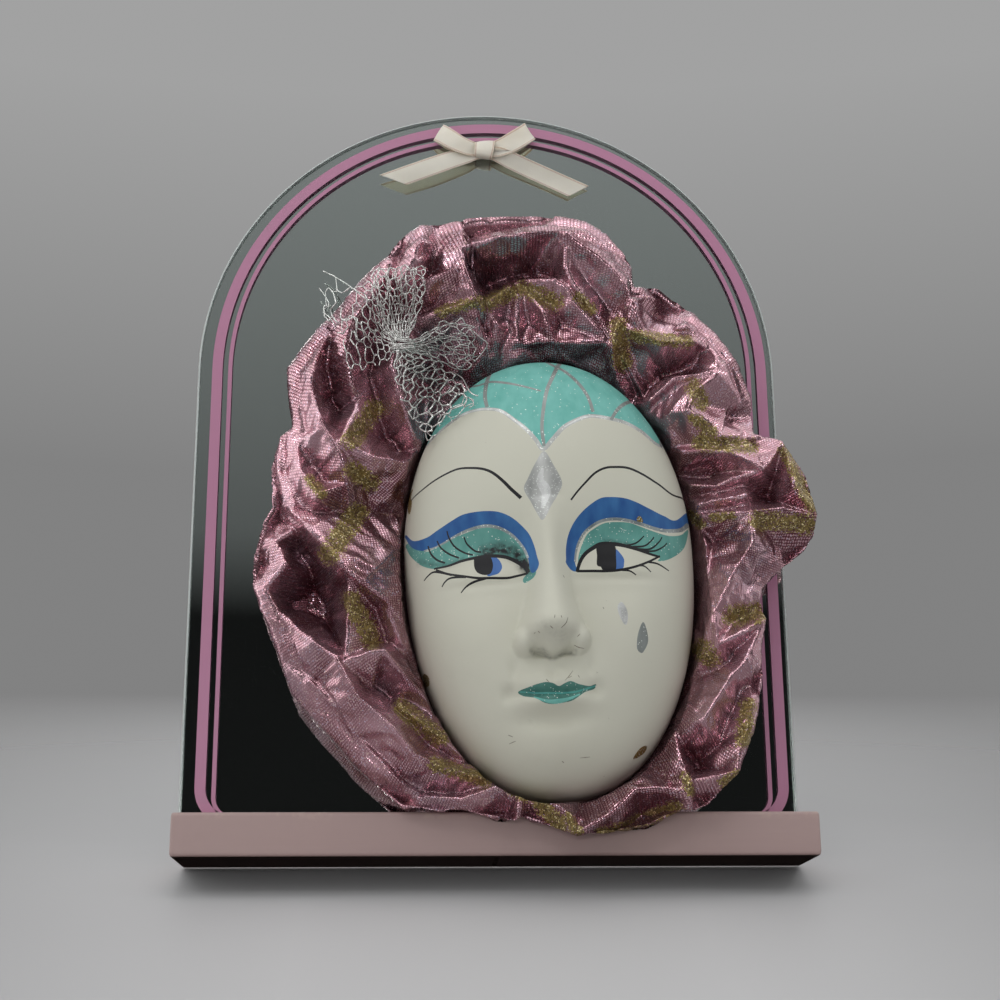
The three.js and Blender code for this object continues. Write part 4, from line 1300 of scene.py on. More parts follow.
# Brush strokes of gold glitter: from and to in pixels, and half the stroke's width in millimetres
goldStrokes = [
    (523, 288, 556, 302, 3.2), (578, 296, 592, 310, 2.2), (486, 304, 512, 292, 3.0),
    (440, 312, 478, 301, 2.4), (618, 326, 622, 362, 3.6), (636, 336, 688, 342, 2.6),
    (694, 388, 702, 402, 3.4), (694, 418, 712, 432, 2.4), (700, 442, 750, 446, 3.2),
    (784, 450, 812, 508, 2.4), (758, 520, 808, 524, 3.6), (712, 517, 732, 516, 1.8),
    (733, 616, 760, 612, 4.0), (702, 650, 710, 658, 4.0), (748, 706, 744, 740, 3.4),
    (722, 782, 738, 774, 2.0), (636, 822, 676, 808, 3.0), (600, 833, 628, 826, 2.0),
    (540, 804, 560, 826, 3.0), (568, 818, 578, 832, 2.2), (512, 788, 524, 796, 2.6),
    (436, 764, 484, 780, 3.2), (402, 708, 440, 738, 3.6), (685, 776, 690, 792, 2.0),
    (352, 600, 372, 640, 3.8), (330, 552, 356, 514, 4.6), (352, 470, 370, 482, 3.6),
    (352, 440, 374, 408, 3.8), (310, 480, 322, 494, 2.2), (692, 515, 700, 524, 2.0)]


def softer(values, width):  # a smooth least of several values
    return -width * np.log(sum(np.exp(-np.maximum(v, -40) / width) for v in values))


def standingLine(points):  # (x, z) of pixels that have their distance from the glass, and that distance
    points = np.array(points, float)
    return atDepth(points, -points[:, 2])[:, [0, 2]], points[:, 2]


def foldHeights(places):  # stand-off of the folded cloth at (x, z)
    height = np.full(len(places), collarShape["floor"])
    for left, right, crest in collarFolds:
        line, stand = standingLine(crest)
        far, side, share = offLine(places, line)
        steep = np.where(side > 0, left, right) * collarShape["steeper"]
        rise = np.interp(share, np.arange(len(crest)), stand)
        rounded = np.sqrt(far ** 2 + collarShape["crest"] ** 2) - collarShape["crest"]
        height = np.maximum(height, rise - steep * rounded)
    return height


def edgeRound(turns, middle):  # how far out and how far from the glass the outer edge is in each direction
    place, stand = standingLine(collarEdge)
    edge = np.column_stack([place - middle, stand])
    looped = evenSteps(np.concatenate([edge, edge[:1]]), step=1.0)
    polar = np.arctan2(looped[:, 1], looped[:, 0])
    order = np.argsort(polar)
    reach = np.interp(turns, polar[order], np.hypot(*looped[order, :2].T), period=2 * math.pi)
    return reach, np.interp(turns, polar[order], looped[order, 2], period=2 * math.pi)


def frontLines(way, middle, inner, reach, level):  # radius and stand-off of the cloth's visible side
    c = collarShape
    radius = inner[:, None] + (reach - inner)[:, None] * np.linspace(0, 1, 150)
    places = middle + radius[:, :, None] * way[:, None, :]
    folded = foldHeights(places.reshape(-1, 2)).reshape(radius.shape)
    toEdge = reach[:, None] - radius
    bend = np.sqrt(1 - (1 - np.clip(toEdge / c["turn"], 0, 1)) ** 2)
    outerCap = level[:, None] + c["turn"] * bend + 1.5 * np.maximum(toEdge - c["turn"], 0)
    innerCap = 9 + c["innerSlope"] * (radius - inner[:, None])
    front = softer([folded, outerCap, innerCap], 0.7)
    front[:, -1] = level
    return radius, front


def collarLines():  # the strip as lines from behind the mask, over the folds and back to the glass
    c = collarShape
    middle = np.array([maskShape["centreX"], maskShape["centreZ"]])
    turns = np.linspace(-math.pi, math.pi, c["around"], endpoint=False)
    way = np.stack([np.cos(turns), np.sin(turns)], 1)
    lean = maskShape["lean"]
    rim = 1 / rimGauge(np.cos(turns - lean), np.sin(turns - lean))
    reach, level = edgeRound(turns, middle)
    radius, front = frontLines(way, middle, rim + c["inner"], reach, level)

    lines = []
    boardTop = boardHigh[2] + 0.8
    boardFront = -boardLow[1] + c["overBoard"]
    back = np.linspace(0.02, 1, 40)
    for i in range(c["around"]):
        tucked = [[rim[i] - c["tuck"], c["tuckOut"]], [rim[i] - 1, c["tuckOut"]], [rim[i] + 0.5, 6.9]]
        over = np.stack([radius[i], front[i]], 1)
        backRadius = reach[i] - (reach[i] - (rim[i] - 3)) * back ** 1.15
        backOut = c["home"] + (level[i] - c["home"]) * (1 - back) ** 2.2
        aboveBoard = middle[1] + backRadius * way[i, 1] - boardTop
        backOut = np.maximum(backOut, np.where(aboveBoard < 0, boardFront, boardFront - 8 * aboveBoard))
        behind = np.concatenate([over[-1:], np.stack([backRadius, backOut], 1)])
        lines.append(np.concatenate([evenSteps(np.concatenate([tucked, over]), count=c["front"]),
                                     evenSteps(behind, count=c["back"] + 1)[1:]]))
    lines = np.array(lines)
    x = middle[0] + lines[:, :, 0] * way[:, None, 0]
    z = middle[1] + lines[:, :, 0] * way[:, None, 1]
    return np.stack([x, -lines[:, :, 1], z], 2), turns


def gridNormals(points):  # of a sheet closed in its first direction
    along = np.roll(points, -1, axis=0) - np.roll(points, 1, axis=0)
    across = np.gradient(points, axis=1)
    normal = np.cross(across, along)
    return normal / np.maximum(np.linalg.norm(normal, axis=2, keepdims=True), 1e-9)


def crumple(points, flat):  # the start of the small creases between the main folds
    u, v = flat[:, :, 0], flat[:, :, 1]
    u = u + v * np.where(points[:, :, 0] < 0, 0.9, 0.15)
    small = -0.8 * creaseNoise(u / 17, v / 22, 3) + 0.3 * creaseNoise(u / 9, v / 15, 11)
    calm = np.clip(np.minimum(v - 4, (v.max(1, keepdims=True) - v) - 4) / 8, 0, 1)
    return points + gridNormals(points) * (small * calm)[:, :, None]


def holdWeights(points):  # 1 where the cloth is glued or gathered, less where it can crease
    c = collarCloth
    places = points[:, :, [0, 2]].reshape(-1, 2)
    nearCrest = np.zeros(len(places))
    for _, _, crest in collarFolds:
        nearCrest = np.maximum(nearCrest, bump(offLine(places, standingLine(crest)[0])[0], 1.6))
    weight = c["hold"] + (c["holdCrests"] - c["hold"]) * nearCrest.reshape(points.shape[:2])
    back = collarShape["back"]
    for side in (slice(6, 13), slice(-back - 9, -back)):
        weight[:, side] = np.maximum(weight[:, side], c["holdSides"])
    weight[:, :6] = 1
    weight[:, -back:] = 1
    return weight


def crease(points):  # the simulated cloth, as points again
    c = collarCloth
    rows, columns = points.shape[:2]
    faces = gridFaces(rows, columns, closedRows=True)
    piece = makePiece("cloth_trial", points.reshape(-1, 3) * c["scale"], faces, [])
    group = piece.vertex_groups.new(name="held")
    steps = np.round(holdWeights(points).ravel() * c["weights"]).astype(int)
    for step in np.unique(steps):
        group.add(np.flatnonzero(steps == step).tolist(), step / c["weights"], "REPLACE")
    cloth = piece.modifiers.new("Cloth", "CLOTH")
    cloth.settings.quality = 5
    cloth.settings.bending_stiffness = c["bending"]
    cloth.settings.vertex_group_mass = "held"
    cloth.settings.shrink_min = -c["spare"]
    cloth.settings.effector_weights.gravity = 0
    cloth.collision_settings.use_collision = False
    cloth.point_cache.frame_end = c["frames"]
    for step in range(1, c["frames"] + 1):
        bpy.context.scene.frame_set(step)
    found = vertexPlaces(piece.evaluated_get(bpy.context.evaluated_depsgraph_get()).data)
    bpy.context.scene.frame_set(1)
    bpy.data.objects.remove(piece)
    return found.reshape(points.shape) / c["scale"]


def valleyShadeShare(points):  # painted shade for the cloth: 1 deep in the folds, 0 on their crests
    out = -points[:, :, 1]
    around = out
    for _ in range(3):
        around = sum(np.roll(around, step, axis=0) for step in range(-6, 7)) / 13
        padded = np.pad(around, ((0, 0), (5, 5)), mode="edge")
        around = sum(padded[:, step:step + out.shape[1]] for step in range(11)) / 11
    share = np.clip((around - out - 0.5) / 6, 0, 1)
    share[:, -collarShape["back"]:] = 0
    return share


def goldShare(points, showing):  # how much gold glitter is on each place of the front
    pixels = toPixels(points)
    gold = np.zeros(len(points))
    for u0, v0, u1, v1, half in goldStrokes:
        far = offLine(pixels, np.array([[u0, v0], [u1, v1]], float))[0] * collarShape["pixelSize"]
        gold = np.maximum(gold, np.clip(1.6 - 0.9 * far / half, 0, 1) * showing)
    return gold


def makeCollar():
    points, turns = collarLines()
    steps = np.linalg.norm(np.diff(points, axis=1), axis=2)
    across = np.concatenate([np.zeros((len(points), 1)), np.cumsum(steps, axis=1)], 1)
    along = np.repeat((turns * collarShape["meanRadius"])[:, None], points.shape[1], 1)
    flat = np.stack([along, across], 2)
    points = crumple(points, flat)
    points = crease(points)
    points[:, :, 1] = np.minimum(points[:, :, 1], mirrorShape["front"] - 0.4)
    low = points[:, :, 2] < boardHigh[2] + 0.5
    points[:, :, 1] = np.where(low, np.minimum(points[:, :, 1], boardLow[1] - 0.7), points[:, :, 1])

    # The first line is repeated at the end, so that the weave's flat coordinates don't wrap
    valley_shade = valleyShadeShare(points)
    valley_shade = np.concatenate([valley_shade, valley_shade[:1]])
    points = np.concatenate([points, points[:1]])
    flat = np.concatenate([flat, flat[:1] + (2 * math.pi * collarShape["meanRadius"], 0)])
    rows, columns = points.shape[:2]
    every = points.reshape(-1, 3)
    gold = goldShare(every, np.tile(np.arange(columns) < collarShape["front"], rows))
    piece = makePiece("gathered_collar", every, gridFaces(rows, columns), [finish["lame"]],
                      flat=flat.reshape(-1, 2), values={"gold": gold, "valley_shade": valley_shade.ravel()})
    return settle(piece, "lame_cloth", "ruffle_collar")


collarPiece = makeCollar()
print("Collar made")


# Satin bow: one ribbon tied in a knot, each stretch given by its upper and lower edge in the photograph's
# pixels with the distance from the glass

ribbonShape = {
    "width": 9.0, "thick": 0.26, "bulge": 0.35, "across": 15, "step": 1.12,
    "edge": 0.42, "edgeWide": 0.55,  # the thicker hem
    "frayed": 0.45,                  # how ragged the cut ends are
}
ribbonStretches = {
    "left_loop": [
        (478, 143, 4.0, 477, 156, 4.4), (471, 140.8, 5.2, 469, 155.4, 5.6), (464, 137, 5.9, 460, 153, 6.4),
        (455, 131, 5.9, 447, 147.5, 6.5), (447.5, 126.4, 5.2, 438, 142.6, 5.7),
        (443.5, 124.8, 4.0, 433.6, 140.6, 4.2), (446.5, 127, 2.8, 436.5, 142.8, 2.7),
        (456, 132.6, 2.2, 448, 150, 2.2), (467, 138.6, 2.3, 463, 156, 2.2),
        (477, 143, 2.6, 477, 157.4, 2.6)],
    "right_loop": [
        (491, 142.5, 4.2, 489, 157, 4.4), (498, 139.2, 5.2, 500, 156.6, 5.2),
        (508, 133.2, 5.9, 513, 152.4, 6.0), (518, 127.2, 5.5, 526, 145.2, 5.6),
        (524.7, 123, 4.0, 535.4, 139.1, 4.1), (521, 126, 2.8, 531, 142.6, 2.6),
        (509, 134, 2.3, 515, 153.6, 2.2), (498, 140.5, 2.3, 502, 158.4, 2.2),
        (491, 144, 2.6, 490, 158.5, 2.6)],
    "left_tail": [
        (484, 149, 4.2, 486, 159, 3.2), (473, 148.6, 4.2, 478, 159.4, 3.8),
        (460, 149.4, 4.4, 469, 163, 4.7), (446.6, 152.1, 4.8, 455.8, 167.6, 5.3),
        (428, 158, 5.5, 437, 174.4, 5.6), (410, 164.2, 5.4, 420, 180.4, 5.2),
        (396, 169.1, 5.0, 411, 183.6, 4.9), (379.2, 175, 4.6, 406.8, 185, 4.8)],
    "right_tail": [
        (484, 148, 4.9, 482, 158, 3.0), (492, 146.6, 5.3, 487, 158.6, 3.2),
        (499, 146.6, 5.8, 494, 161, 3.4), (508, 149.4, 5.9, 505, 167.2, 3.2),
        (522, 156, 4.9, 518, 173.6, 2.8), (544, 166, 3.5, 537, 182.4, 2.4),
        (564, 175, 2.8, 555, 190.6, 2.2), (577, 180.8, 2.5, 562, 193.8, 2.2),
        (589, 186, 2.4, 568, 196.6, 2.2)],
    "knot": [
        (475.6, 142.4, 4.2, 494.4, 141, 4.2), (474.9, 143.4, 6.1, 494.8, 142.3, 6.1),
        (474.6, 148, 7.0, 494, 149, 7.0), (474.4, 153, 6.8, 492, 156, 6.8),
        (474.5, 155.6, 5.4, 491.2, 159, 5.2), (475, 156.4, 3.4, 491, 159.8, 3.2),
        (475.2, 154, 2.0, 491.6, 157, 2.0), (475.4, 148, 1.9, 493, 150, 1.9),
        (475.6, 143.6, 2.2, 494.4, 142.6, 2.2)],
}


def ribbonEdges(stations, closed):  # the two long edges of a stretch, in even steps
    stations = np.array(stations, float)
    edges = [atDepth(stations[:, side:side + 2], -stations[:, side + 2]) for side in (0, 3)]
    both = smoothLine(np.concatenate(edges, 1), step=ribbonShape["step"], closed=closed)
    if closed and np.allclose(both[0], both[-1]):
        both = both[:-1]
    return both[:, :3], both[:, 3:]


def ribbonStrip(stations, closed):  # points and faces of one stretch, with front, back and both edges
    r = ribbonShape
    upper, lower = ribbonEdges(stations, closed)
    turn = np.cos(math.pi * np.linspace(0, 1, r["across"]))
    share = 0.5 - 0.5 * turn * (0.72 + 0.28 * np.abs(turn))
    middle = upper[:, None] * (1 - share)[:, None] + lower[:, None] * share[:, None]
    along = np.gradient(middle, axis=0)
    normal = np.cross(along, (lower - upper)[:, None])
    normal /= np.linalg.norm(normal, axis=2, keepdims=True)
    fromEdge = np.minimum(share, 1 - share) * r["width"]
    half = np.where(fromEdge < r["edgeWide"], r["edge"], r["thick"]) / 2
    half = half * (1 - 0.5 * (fromEdge < 0.05))
    lift = r["bulge"] * 4 * share * (1 - share)
    if not closed:
        ragged = r["frayed"] * (scatter(np.arange(len(share)) * 1.0, 3.0, 5) - 0.5)
        middle[-1] += ragged[:, None] * along[-1] / 1.2
    front = middle + normal * (lift + half)[None, :, None]
    back = middle + normal * (lift - half)[None, :, None]
    ring = np.concatenate([front, back[:, ::-1]], 1)
    flatAlong = lengthAlong(upper)[:, None] * (1 - share) + lengthAlong(lower)[:, None] * share
    flat = np.stack([np.broadcast_to(share * r["width"], flatAlong.shape), flatAlong], 2)
    flat = np.concatenate([flat, flat[:, ::-1]], 1)
    rows, columns = ring.shape[:2]
    faces = gridFaces(rows, columns, closedRows=closed, closedColumns=True).tolist()
    for row in () if closed else (0, rows - 1):
        for k in range(len(share) - 1):
            a, b = row * columns + k, row * columns + columns - 1 - k
            faces.append([a, b, b - 1, a + 1][::1 if row == 0 else -1])
    return ring.reshape(-1, 3), faces, flat.reshape(-1, 2)


def makeSatinBow():
    strips = [ribbonStrip(stations, name == "knot") for name, stations in ribbonStretches.items()]
    points, faces = joinParts([(spots, sides) for spots, sides, _ in strips])
    piece = makePiece("satin_ribbon_bow", points, faces, [finish["satin"]],
                      flat=np.concatenate([flat for _, _, flat in strips]))
    outwardFaces(piece)
    return settle(piece, "satin_ribbon", "satin_bow")


satinBow = makeSatinBow()
print("Satin bow made")


# Net bow: four gathered lobes of a thin metal-thread net. Each layer has its two sides in the photograph's
# pixels from the waist outwards, with the lift over what lies under it, and its meshes across and along

netShape = {
    "thread": 0.58, "segments": 3, "around": 4,
    "lowPixel": (300.0, 250.0), "highPixel": (510.0, 460.0),  # where the collar and mask can lie under it
    "cell": 4.0,      # of the underlay's grid, in pixels
    "bare": 2.0,      # stand-off where nothing lies under it
    "third": 0.33,    # how far every other knot is set on, so that the meshes are six-sided
    "bend": 0.16,
}
netLayers = {
    "top_front": {
        "left": [(396, 340, 2), (384, 330, 3), (377, 312, 5), (371, 292, 6), (369, 278, 6), (376, 266, 4)],
        "right": [(408, 340, 2), (412, 328, 3), (418, 314, 5), (422, 300, 6), (424, 280, 6), (421, 263, 4)],
        "meshes": (22, 9), "ruffle": (4.2, 4.6, 0.4), "ragged": 0.02, "loose": 0.62, "fine": 0.86},
    "top_back": {
        "left": [(397, 341, 1), (388, 331, 2), (382, 312, 3), (378, 292, 3), (375, 278, 3), (380, 265, 2)],
        "right": [(407, 341, 1), (413, 328, 2), (419, 312, 3), (423, 296, 3), (423, 278, 3), (424, 266, 2)],
        "meshes": (20, 8), "ruffle": (5.0, 4.0, 2.1), "ragged": 0.03, "loose": 0.65, "fine": 0.8},
    "top_side": {
        "left": [(396, 343, 1), (382, 334, 3), (374, 318, 4), (362, 296, 4), (350, 286, 4)],
        "right": [(400, 339, 1), (390, 326, 2), (384, 310, 3), (379, 292, 4), (376, 276, 4)],
        "meshes": (5, 9), "ruffle": (2.0, 1.6, 0.9), "ragged": 0.16},
    "left_front": {
        "left": [(396, 350, 1), (386, 362, 3), (372, 368, 4), (358, 372, 4), (345, 366, 3)],
        "right": [(394, 342, 1), (380, 332, 3), (364, 322, 4), (350, 314, 4), (338, 316, 3)],
        "meshes": (7, 9), "ruffle": (2.4, 1.8, 1.3), "ragged": 0.2},
    "left_wisp": {
        "left": [(394, 344, 1), (372, 342, 3), (352, 338, 4), (334, 330, 4), (322, 312, 3)],
        "right": [(394, 341, 1), (376, 318, 3), (362, 298, 4), (344, 284, 5), (323, 271, 4)],
        "meshes": (6, 9), "ruffle": (2.0, 1.5, 0.2), "ragged": 0.42},
    "right_front": {
        "left": [(409, 341, 2), (422, 335, 3), (438, 323, 5), (454, 318, 6), (472, 321, 5)],
        "right": [(409, 348, 2), (424, 356, 3), (442, 364, 5), (460, 371, 5), (472, 370, 4)],
        "meshes": (15, 7), "ruffle": (3.5, 4.2, 0.6), "ragged": 0.04, "loose": 0.6, "fine": 0.9},
    "right_back": {
        "left": [(410, 342, 1), (424, 337, 2), (440, 327, 3), (458, 322, 3), (477, 327, 2)],
        "right": [(410, 347, 1), (426, 354, 2), (446, 361, 3), (464, 366, 3), (479, 360, 2)],
        "meshes": (13, 7), "ruffle": (3.6, 2.8, 2.6), "ragged": 0.05, "loose": 0.5, "fine": 0.85},
    "bottom_front": {
        "left": [(397, 350, 2), (394, 364, 3), (397, 388, 4), (404, 409, 4), (412, 424, 3), (427, 437, 2)],
        "right": [(408, 349, 2), (424, 353, 4), (440, 360, 5), (456, 374, 5), (467, 388, 4), (474, 398, 3)],
        "meshes": (9, 11), "ruffle": (2.6, 2.2, 0.9), "ragged": 0.05, "loose": 0.4, "fine": 1.45},
    "bottom_back": {
        "left": [(398, 350, 1), (397, 366, 2), (400, 388, 2), (408, 408, 2), (418, 424, 1.5), (434, 440, 1)],
        "right": [(407, 350, 1), (420, 358, 2), (436, 366, 3), (452, 380, 3), (466, 394, 2), (480, 400, 1)],
        "meshes": (8, 11), "ruffle": (2.2, 1.4, 2.9), "ragged": 0.24, "fine": 0.85},
}
netTies = {"from": (402, 338.5), "to": (403.5, 350.5), "turns": 8, "deep": 3.0, "wide": 5.0, "stand": 3.5}
looseThreads = [
    [(472, 330, 3), (481, 338, 4), (487.5, 344, 4), (482, 353, 3), (474, 362, 3)],
    [(323, 271, 4), (335, 277, 5), (348, 285, 5), (358, 293, 4), (370, 302, 3)],
    [(319, 288, 4), (325, 296, 4), (329, 305, 4), (323, 311, 3), (330, 318, 3), (335, 326, 2)],
    [(452, 372, 3), (462, 378, 4), (470, 392, 2), (478, 396, 1)],
    [(470, 398, 1), (474, 404, 1), (469, 408, 1)],
    [(425, 432, 1), (428, 441, 0.8), (433, 436, 0.8)],
]


def underlay():  # how far out the collar and mask stand, on a grid of pixels round the net bow
    low, high, step = np.array(netShape["lowPixel"]), np.array(netShape["highPixel"]), netShape["cell"]
    spots = np.concatenate([vertexPlaces(piece.data) for piece in (collarPiece, maskPiece)])
    pixels = toPixels(spots)
    near = ((pixels > low) & (pixels < high)).all(1)
    cells = ((pixels[near] - low) / step).astype(int)
    size = ((high - low) / step).astype(int) + 1
    out = np.full(size, netShape["bare"])
    np.maximum.at(out, (cells[:, 0], cells[:, 1]), -spots[near, 1])
    for _ in range(2):
        grown = out.copy()
        for shift in neighbours:
            grown = np.maximum(grown, np.roll(out, shift, (0, 1)) - 1.2)
        out = grown
    for _ in range(3):
        out = sum(np.roll(out, shift, (0, 1)) for shift in neighbours) / 9

    def standAt(pixels):
        place = np.clip((pixels - low) / step - 0.5, 0, size - 2)
        i, j = place.astype(int).T
        fi, fj = (place - place.astype(int)).T
        return ((out[i, j] * (1 - fi) + out[i + 1, j] * fi) * (1 - fj)
                + (out[i, j + 1] * (1 - fi) + out[i + 1, j + 1] * fi) * fj)
    return standAt


def unit(vectors):
    return vectors / np.maximum(np.linalg.norm(vectors, axis=1, keepdims=True), 1e-9)


def thread(line, width):  # a thin round thread along a line, closed at both ends
    way = unit(np.gradient(line, axis=0))
    aside = unit(np.cross(way, (0.31, 0.2, 0.93)))
    over = np.cross(way, aside)
    turn = np.arange(netShape["around"]) * 2 * math.pi / netShape["around"]
    ring = line[:, None] + width / 2 * (aside[:, None] * np.cos(turn)[None, :, None]
                                        + over[:, None] * np.sin(turn)[None, :, None])
    return ring.reshape(-1, 3), tubeFaces(len(line), netShape["around"])


def meshSides(along, across):  # the sides of the net's meshes, each as its cell and its two ends
    for i in range(along):
        for j in range(across + 1):
            odd = (i + j) % 2
            here = np.array([i + (netShape["third"] if odd else 0), j], float)
            if j < across:
                yield i, j, here, np.array([i + (0 if odd else netShape["third"]), j + 1])
            if odd and i < along - 1:
                yield i, j, here, np.array([i + 1, j], float)


def netLines(layer, standAt, seed):  # the threads of one layer of net
    left, right = (evenSteps(smoothLine(layer[side], step=3), count=60) for side in ("left", "right"))
    across, along = layer["meshes"]
    folds, depth, phase = layer["ruffle"]
    loose, width = layer.get("loose", 0.3), netShape["thread"] * layer.get("fine", 1.0)

    def place(s, t):  # share along and share across, to a point
        gathered = t + 0.055 * np.sin(2 * math.pi * folds * t + phase) * s
        index = np.clip(s, 0, 1) * 59
        a, b = (np.stack([np.interp(index, np.arange(60), column) for column in side.T], 1)
                for side in (left, right))
        spot = a + (b - a) * gathered[:, None]
        wave = depth * np.sin(2 * math.pi * folds * t + phase + 1.3) * np.clip(s * 2.2, 0, 1)
        spot[:, 2] += wave * 0.5 + abs(depth) * 0.4 + 2.2 * np.exp(-s * 5)
        return atDepth(spot, -(standAt(spot[:, :2]) + spot[:, 2]))

    def slack(spot, which):  # how far a knot has slipped
        return loose * (scatter(np.round(spot[0]), np.round(spot[1]), seed + which) - 0.5)

    lines = []
    part = np.linspace(0, 1, netShape["segments"] + 1)[:, None]
    for i, j, here, end in meshSides(along, across):
        if scatter(i * 1.7 + end[1], j * 2.3 + end[0], seed) < layer["ragged"] * (i / along) ** 0.7:
            continue
        start, stop = (spot + (slack(spot, 1), slack(spot, 2)) for spot in (here, end))
        line = start * (1 - part) + stop * part
        bend = netShape["bend"] * (scatter(i * 1.0, j * 1.0, seed + 3) - 0.5)
        line[:, 1] += bend * np.sin(math.pi * part[:, 0])
        lines.append((place(line[:, 0] / (along - 0.4), line[:, 1] / across), width))
    return lines


def tieLines(standAt):  # turns of thread round the waist
    ends = np.array([netTies["from"], netTies["to"]])
    stand = float(standAt(ends.mean(0)[None])[0]) + netTies["stand"]
    start, end = atDepth(ends, -stand)
    turn = np.linspace(0, 2 * math.pi, 15)
    lines = []
    for k in range(netTies["turns"]):
        centre = start + (end - start) * (k + 0.5) / netTies["turns"]
        skew, slip, size = (scatter(k * 1.0, which, 3) - 0.5 for which in (0.0, 1.0, 2.0))
        ring = centre + np.stack([
            netTies["wide"] * (1 + 0.25 * size) * np.cos(turn), -netTies["deep"] * np.sin(turn),
            1.8 * skew * np.cos(turn) + 0.8 * slip + 0.3 * np.sin(3 * turn)], 1)
        lines.append((ring, netShape["thread"]))
    return lines


def makeNetBow():
    standAt = underlay()
    lines = []
    for number, layer in enumerate(netLayers.values()):
        lines += netLines(layer, standAt, number * 5 + 40)
    for line in looseThreads:
        line = smoothLine(line, step=3)
        lines.append((atDepth(line, -(standAt(line[:, :2]) + line[:, 2] + 0.6)), netShape["thread"]))
    lines += tieLines(standAt)
    threads = [thread(line, width * (0.75 + 0.5 * scatter(number * 1.0, 2.0, 6)))
               for number, (line, width) in enumerate(lines)]
    piece = makePiece("net_thread_bow", *joinParts(threads), [finish["thread"]])
    return settle(piece, "metal_net", "net_bow")


netBow = makeNetBow()
print("Net bow made")


# Stage: a pale floor, soft light and a plain surround

stageSettings = {
    "slope": 0.42,         # of the floor behind the piece, as it looks from this low camera
    "far": 3.0,            # metres
    "fade": (0.03, 0.34),  # where the floor melts into the surround behind the piece
    "floorTone": (0.50, 0.50, 0.51),
    "seen": [(0.31, 0.222), (0.50, 0.36)],  # height of the direction and the grey there
    "fill": 0.45,
    "sides": 1.2,
    "below": 0.2,
    "gain": 1.25,
}
lights = {  # place, aim, size and watts
    "low_light": ((-0.25, -1.4, 0.06), (0.02, 0.0, 0.12), (0.8, 0.1), 1.75),
    "top_light": ((0.0, -0.45, 1.15), (0.0, -0.02, 0.15), (0.6, 0.5), 1.2),
    "front_light": ((-0.75, -2.0, 1.8), (0.0, 0.0, 0.15), (1.2, 0.4), 4.7),
    "left_strip": ((-0.75, -0.35, 0.75), (0.0, 0.0, 0.15), (0.6, 0.03), 0.7),
    "right_strip": ((0.75, -0.30, 0.70), (0.0, 0.0, 0.15), (0.6, 0.03), 0.6),
}
mirrorGreys = [
    (0.0, 0.25), (0.02, 0.009), (0.235, 0.007), (0.28, 0.11), (0.50, 0.26), (0.62, 0.55), (1.0, 0.9)]
upperGreys = [(0.0, 0.015), (0.46, 0.02), (0.64, 0.9), (1.0, 1.0)]


def makeFloorFinish():
    material, tree, shader = newMaterial("pale_floor", stageSettings["floorTone"], 0.6)
    behind = addNode(tree, "ShaderNodeNewGeometry").outputs["Backfacing"]
    place = axesOf(addNode(tree, "ShaderNodeNewGeometry").outputs["Position"])
    # Painted light on the floor: darker towards the left and right, so that the middle looks lit
    aside = spread(calc("ABSOLUTE", place["X"]), 0.08, 0.3)
    cloudy = mixColours(cloudNoise(tree, 3.0), (0.60, 0.60, 0.61), (0.63, 0.63, 0.635))
    surface(shader, mixColours(times(aside, 0.5), cloudy, (0.0, 0.0, 0.0)))
    clear = addNode(tree, "ShaderNodeBsdfTransparent")
    start, end = [boardHigh[1] / 1000 + value for value in stageSettings["fade"]]
    hidden = calc("MAXIMUM", behind, spread(place["Y"], start, end))
    both = addNode(tree, "ShaderNodeMixShader", {0: hidden, 1: shader.outputs[0], 2: clear.outputs[0]})
    feed(tree.nodes["Material Output"].inputs["Surface"], both.outputs[0])
    return material


def makeFloor(name, corners, material):
    mesh = bpy.data.meshes.new(name)
    mesh.from_pydata(corners, [], [[0, 1, 2, 3]])
    mesh.materials.append(material)
    floor = bpy.data.objects.new(name, mesh)
    bpy.context.scene.collection.objects.link(floor)
    return floor


def makeFloors():
    far, slope = stageSettings["far"], stageSettings["slope"]
    rear, behind = boardHigh[1] / 1000, stageSettings["fade"][1]
    pale = makeFloorFinish()
    level = makeFloor("floor", [(-far, -far, 0), (far, -far, 0), (far, far, 0), (-far, far, 0)], pale)
    corners = [(-far, -far), (far, -far), (far, behind), (-far, behind)]
    rising = makeFloor("table_slope", [(x, rear + y, slope * y) for x, y in corners], pale)
    rising.visible_diffuse = False
    rising.visible_glossy = False
    level.visible_shadow = False


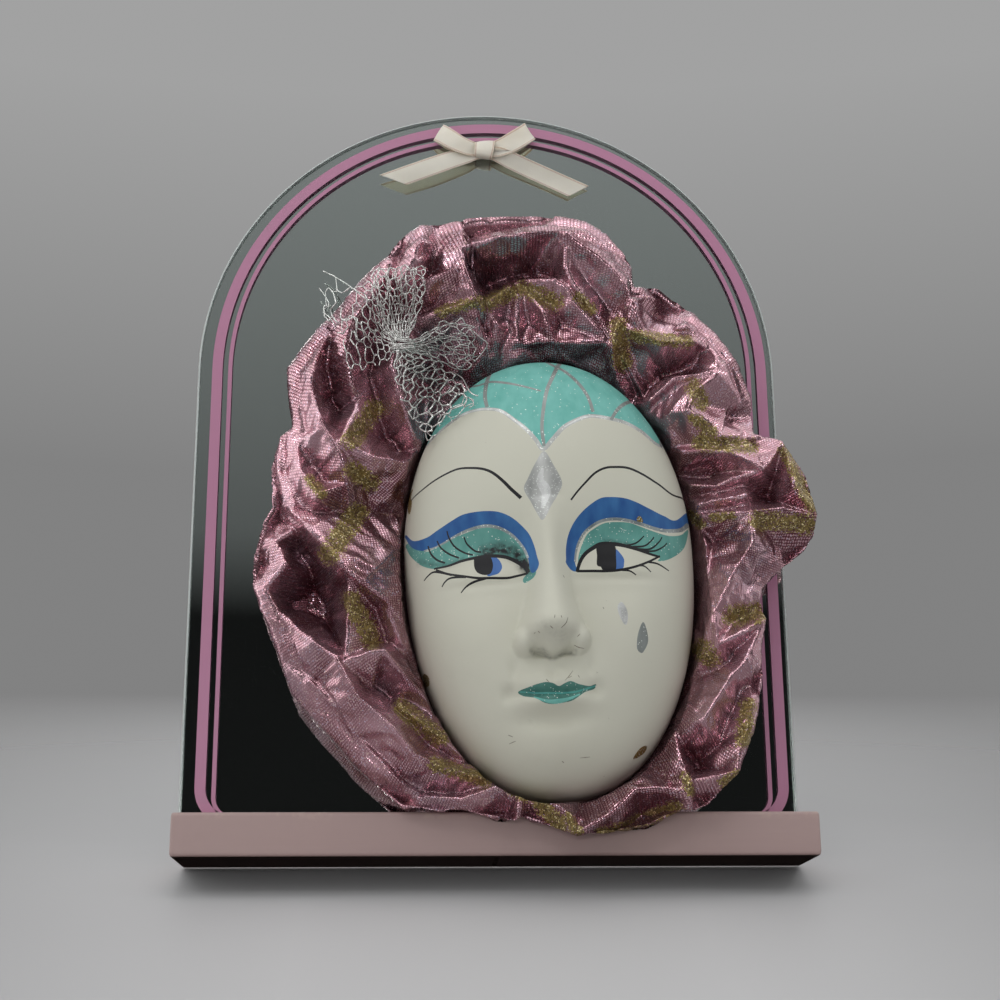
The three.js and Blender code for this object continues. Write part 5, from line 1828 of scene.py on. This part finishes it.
def makeLight(name, place, aim, size, power):
    lamp = bpy.data.lights.new(name, "AREA")
    lamp.shape = "RECTANGLE"
    lamp.size, lamp.size_y = size
    lamp.energy = power
    light = bpy.data.objects.new(name, lamp)
    light.location = place
    light.rotation_euler = (Vector(aim) - Vector(place)).to_track_quat("-Z", "Y").to_euler()
    bpy.context.scene.collection.objects.link(light)


def greyRamp(tree, value, stops):
    ramp = addNode(tree, "ShaderNodeValToRGB", {"Fac": value})
    while len(ramp.color_ramp.elements) < len(stops):
        ramp.color_ramp.elements.new(0.5)
    for stop, (place, grey) in zip(ramp.color_ramp.elements, stops):
        stop.position = place
        stop.color = (grey, grey, grey * 1.02, 1)
    return ramp.outputs["Color"]


def makeSurround():
    world = bpy.data.worlds.new("surround")
    bpy.context.scene.world = world
    world.use_nodes = True
    tree = world.node_tree
    tree.nodes.clear()
    path = addNode(tree, "ShaderNodeLightPath").outputs
    axes = axesOf(coordinates(tree, "Generated"))
    # For the cloth: pale to the left, right, above and below, and dark in front
    aside = calc("ABSOLUTE", calc("SUBTRACT", axes["X"], 0.05))
    sides = times(spread(aside, 0.6, 0.78, 0.0, stageSettings["sides"]),
                  spread(axes["X"], -0.3, 0.3, 1.1, 0.5))
    below = spread(axes["Z"], -0.15, -0.6, 0.0, stageSettings["below"])
    around = calc("MAXIMUM", calc("MAXIMUM", sides, below), greyRamp(tree, axes["Z"], upperGreys))
    around = times(around, stageSettings["gain"])
    (low, dark), (high, pale) = stageSettings["seen"]
    fill = stageSettings["fill"]
    seen = mixColours(path["Is Transmission Ray"], around, greyRamp(tree, axes["Z"], mirrorGreys))
    seen = mixColours(path["Is Diffuse Ray"], seen, (fill, fill, fill))
    seen = mixColours(path["Is Camera Ray"], seen, spread(axes["Z"], low, high, dark, pale))
    light = addNode(tree, "ShaderNodeBackground", {"Color": seen})
    feed(addNode(tree, "ShaderNodeOutputWorld").inputs["Surface"], light.outputs[0])


makeFloors()
makeSurround()
for name, (place, aim, size, power) in lights.items():
    makeLight(name, place, aim, size, power)
bpy.context.scene.view_settings.view_transform = "Standard"
print("Stage and light made")
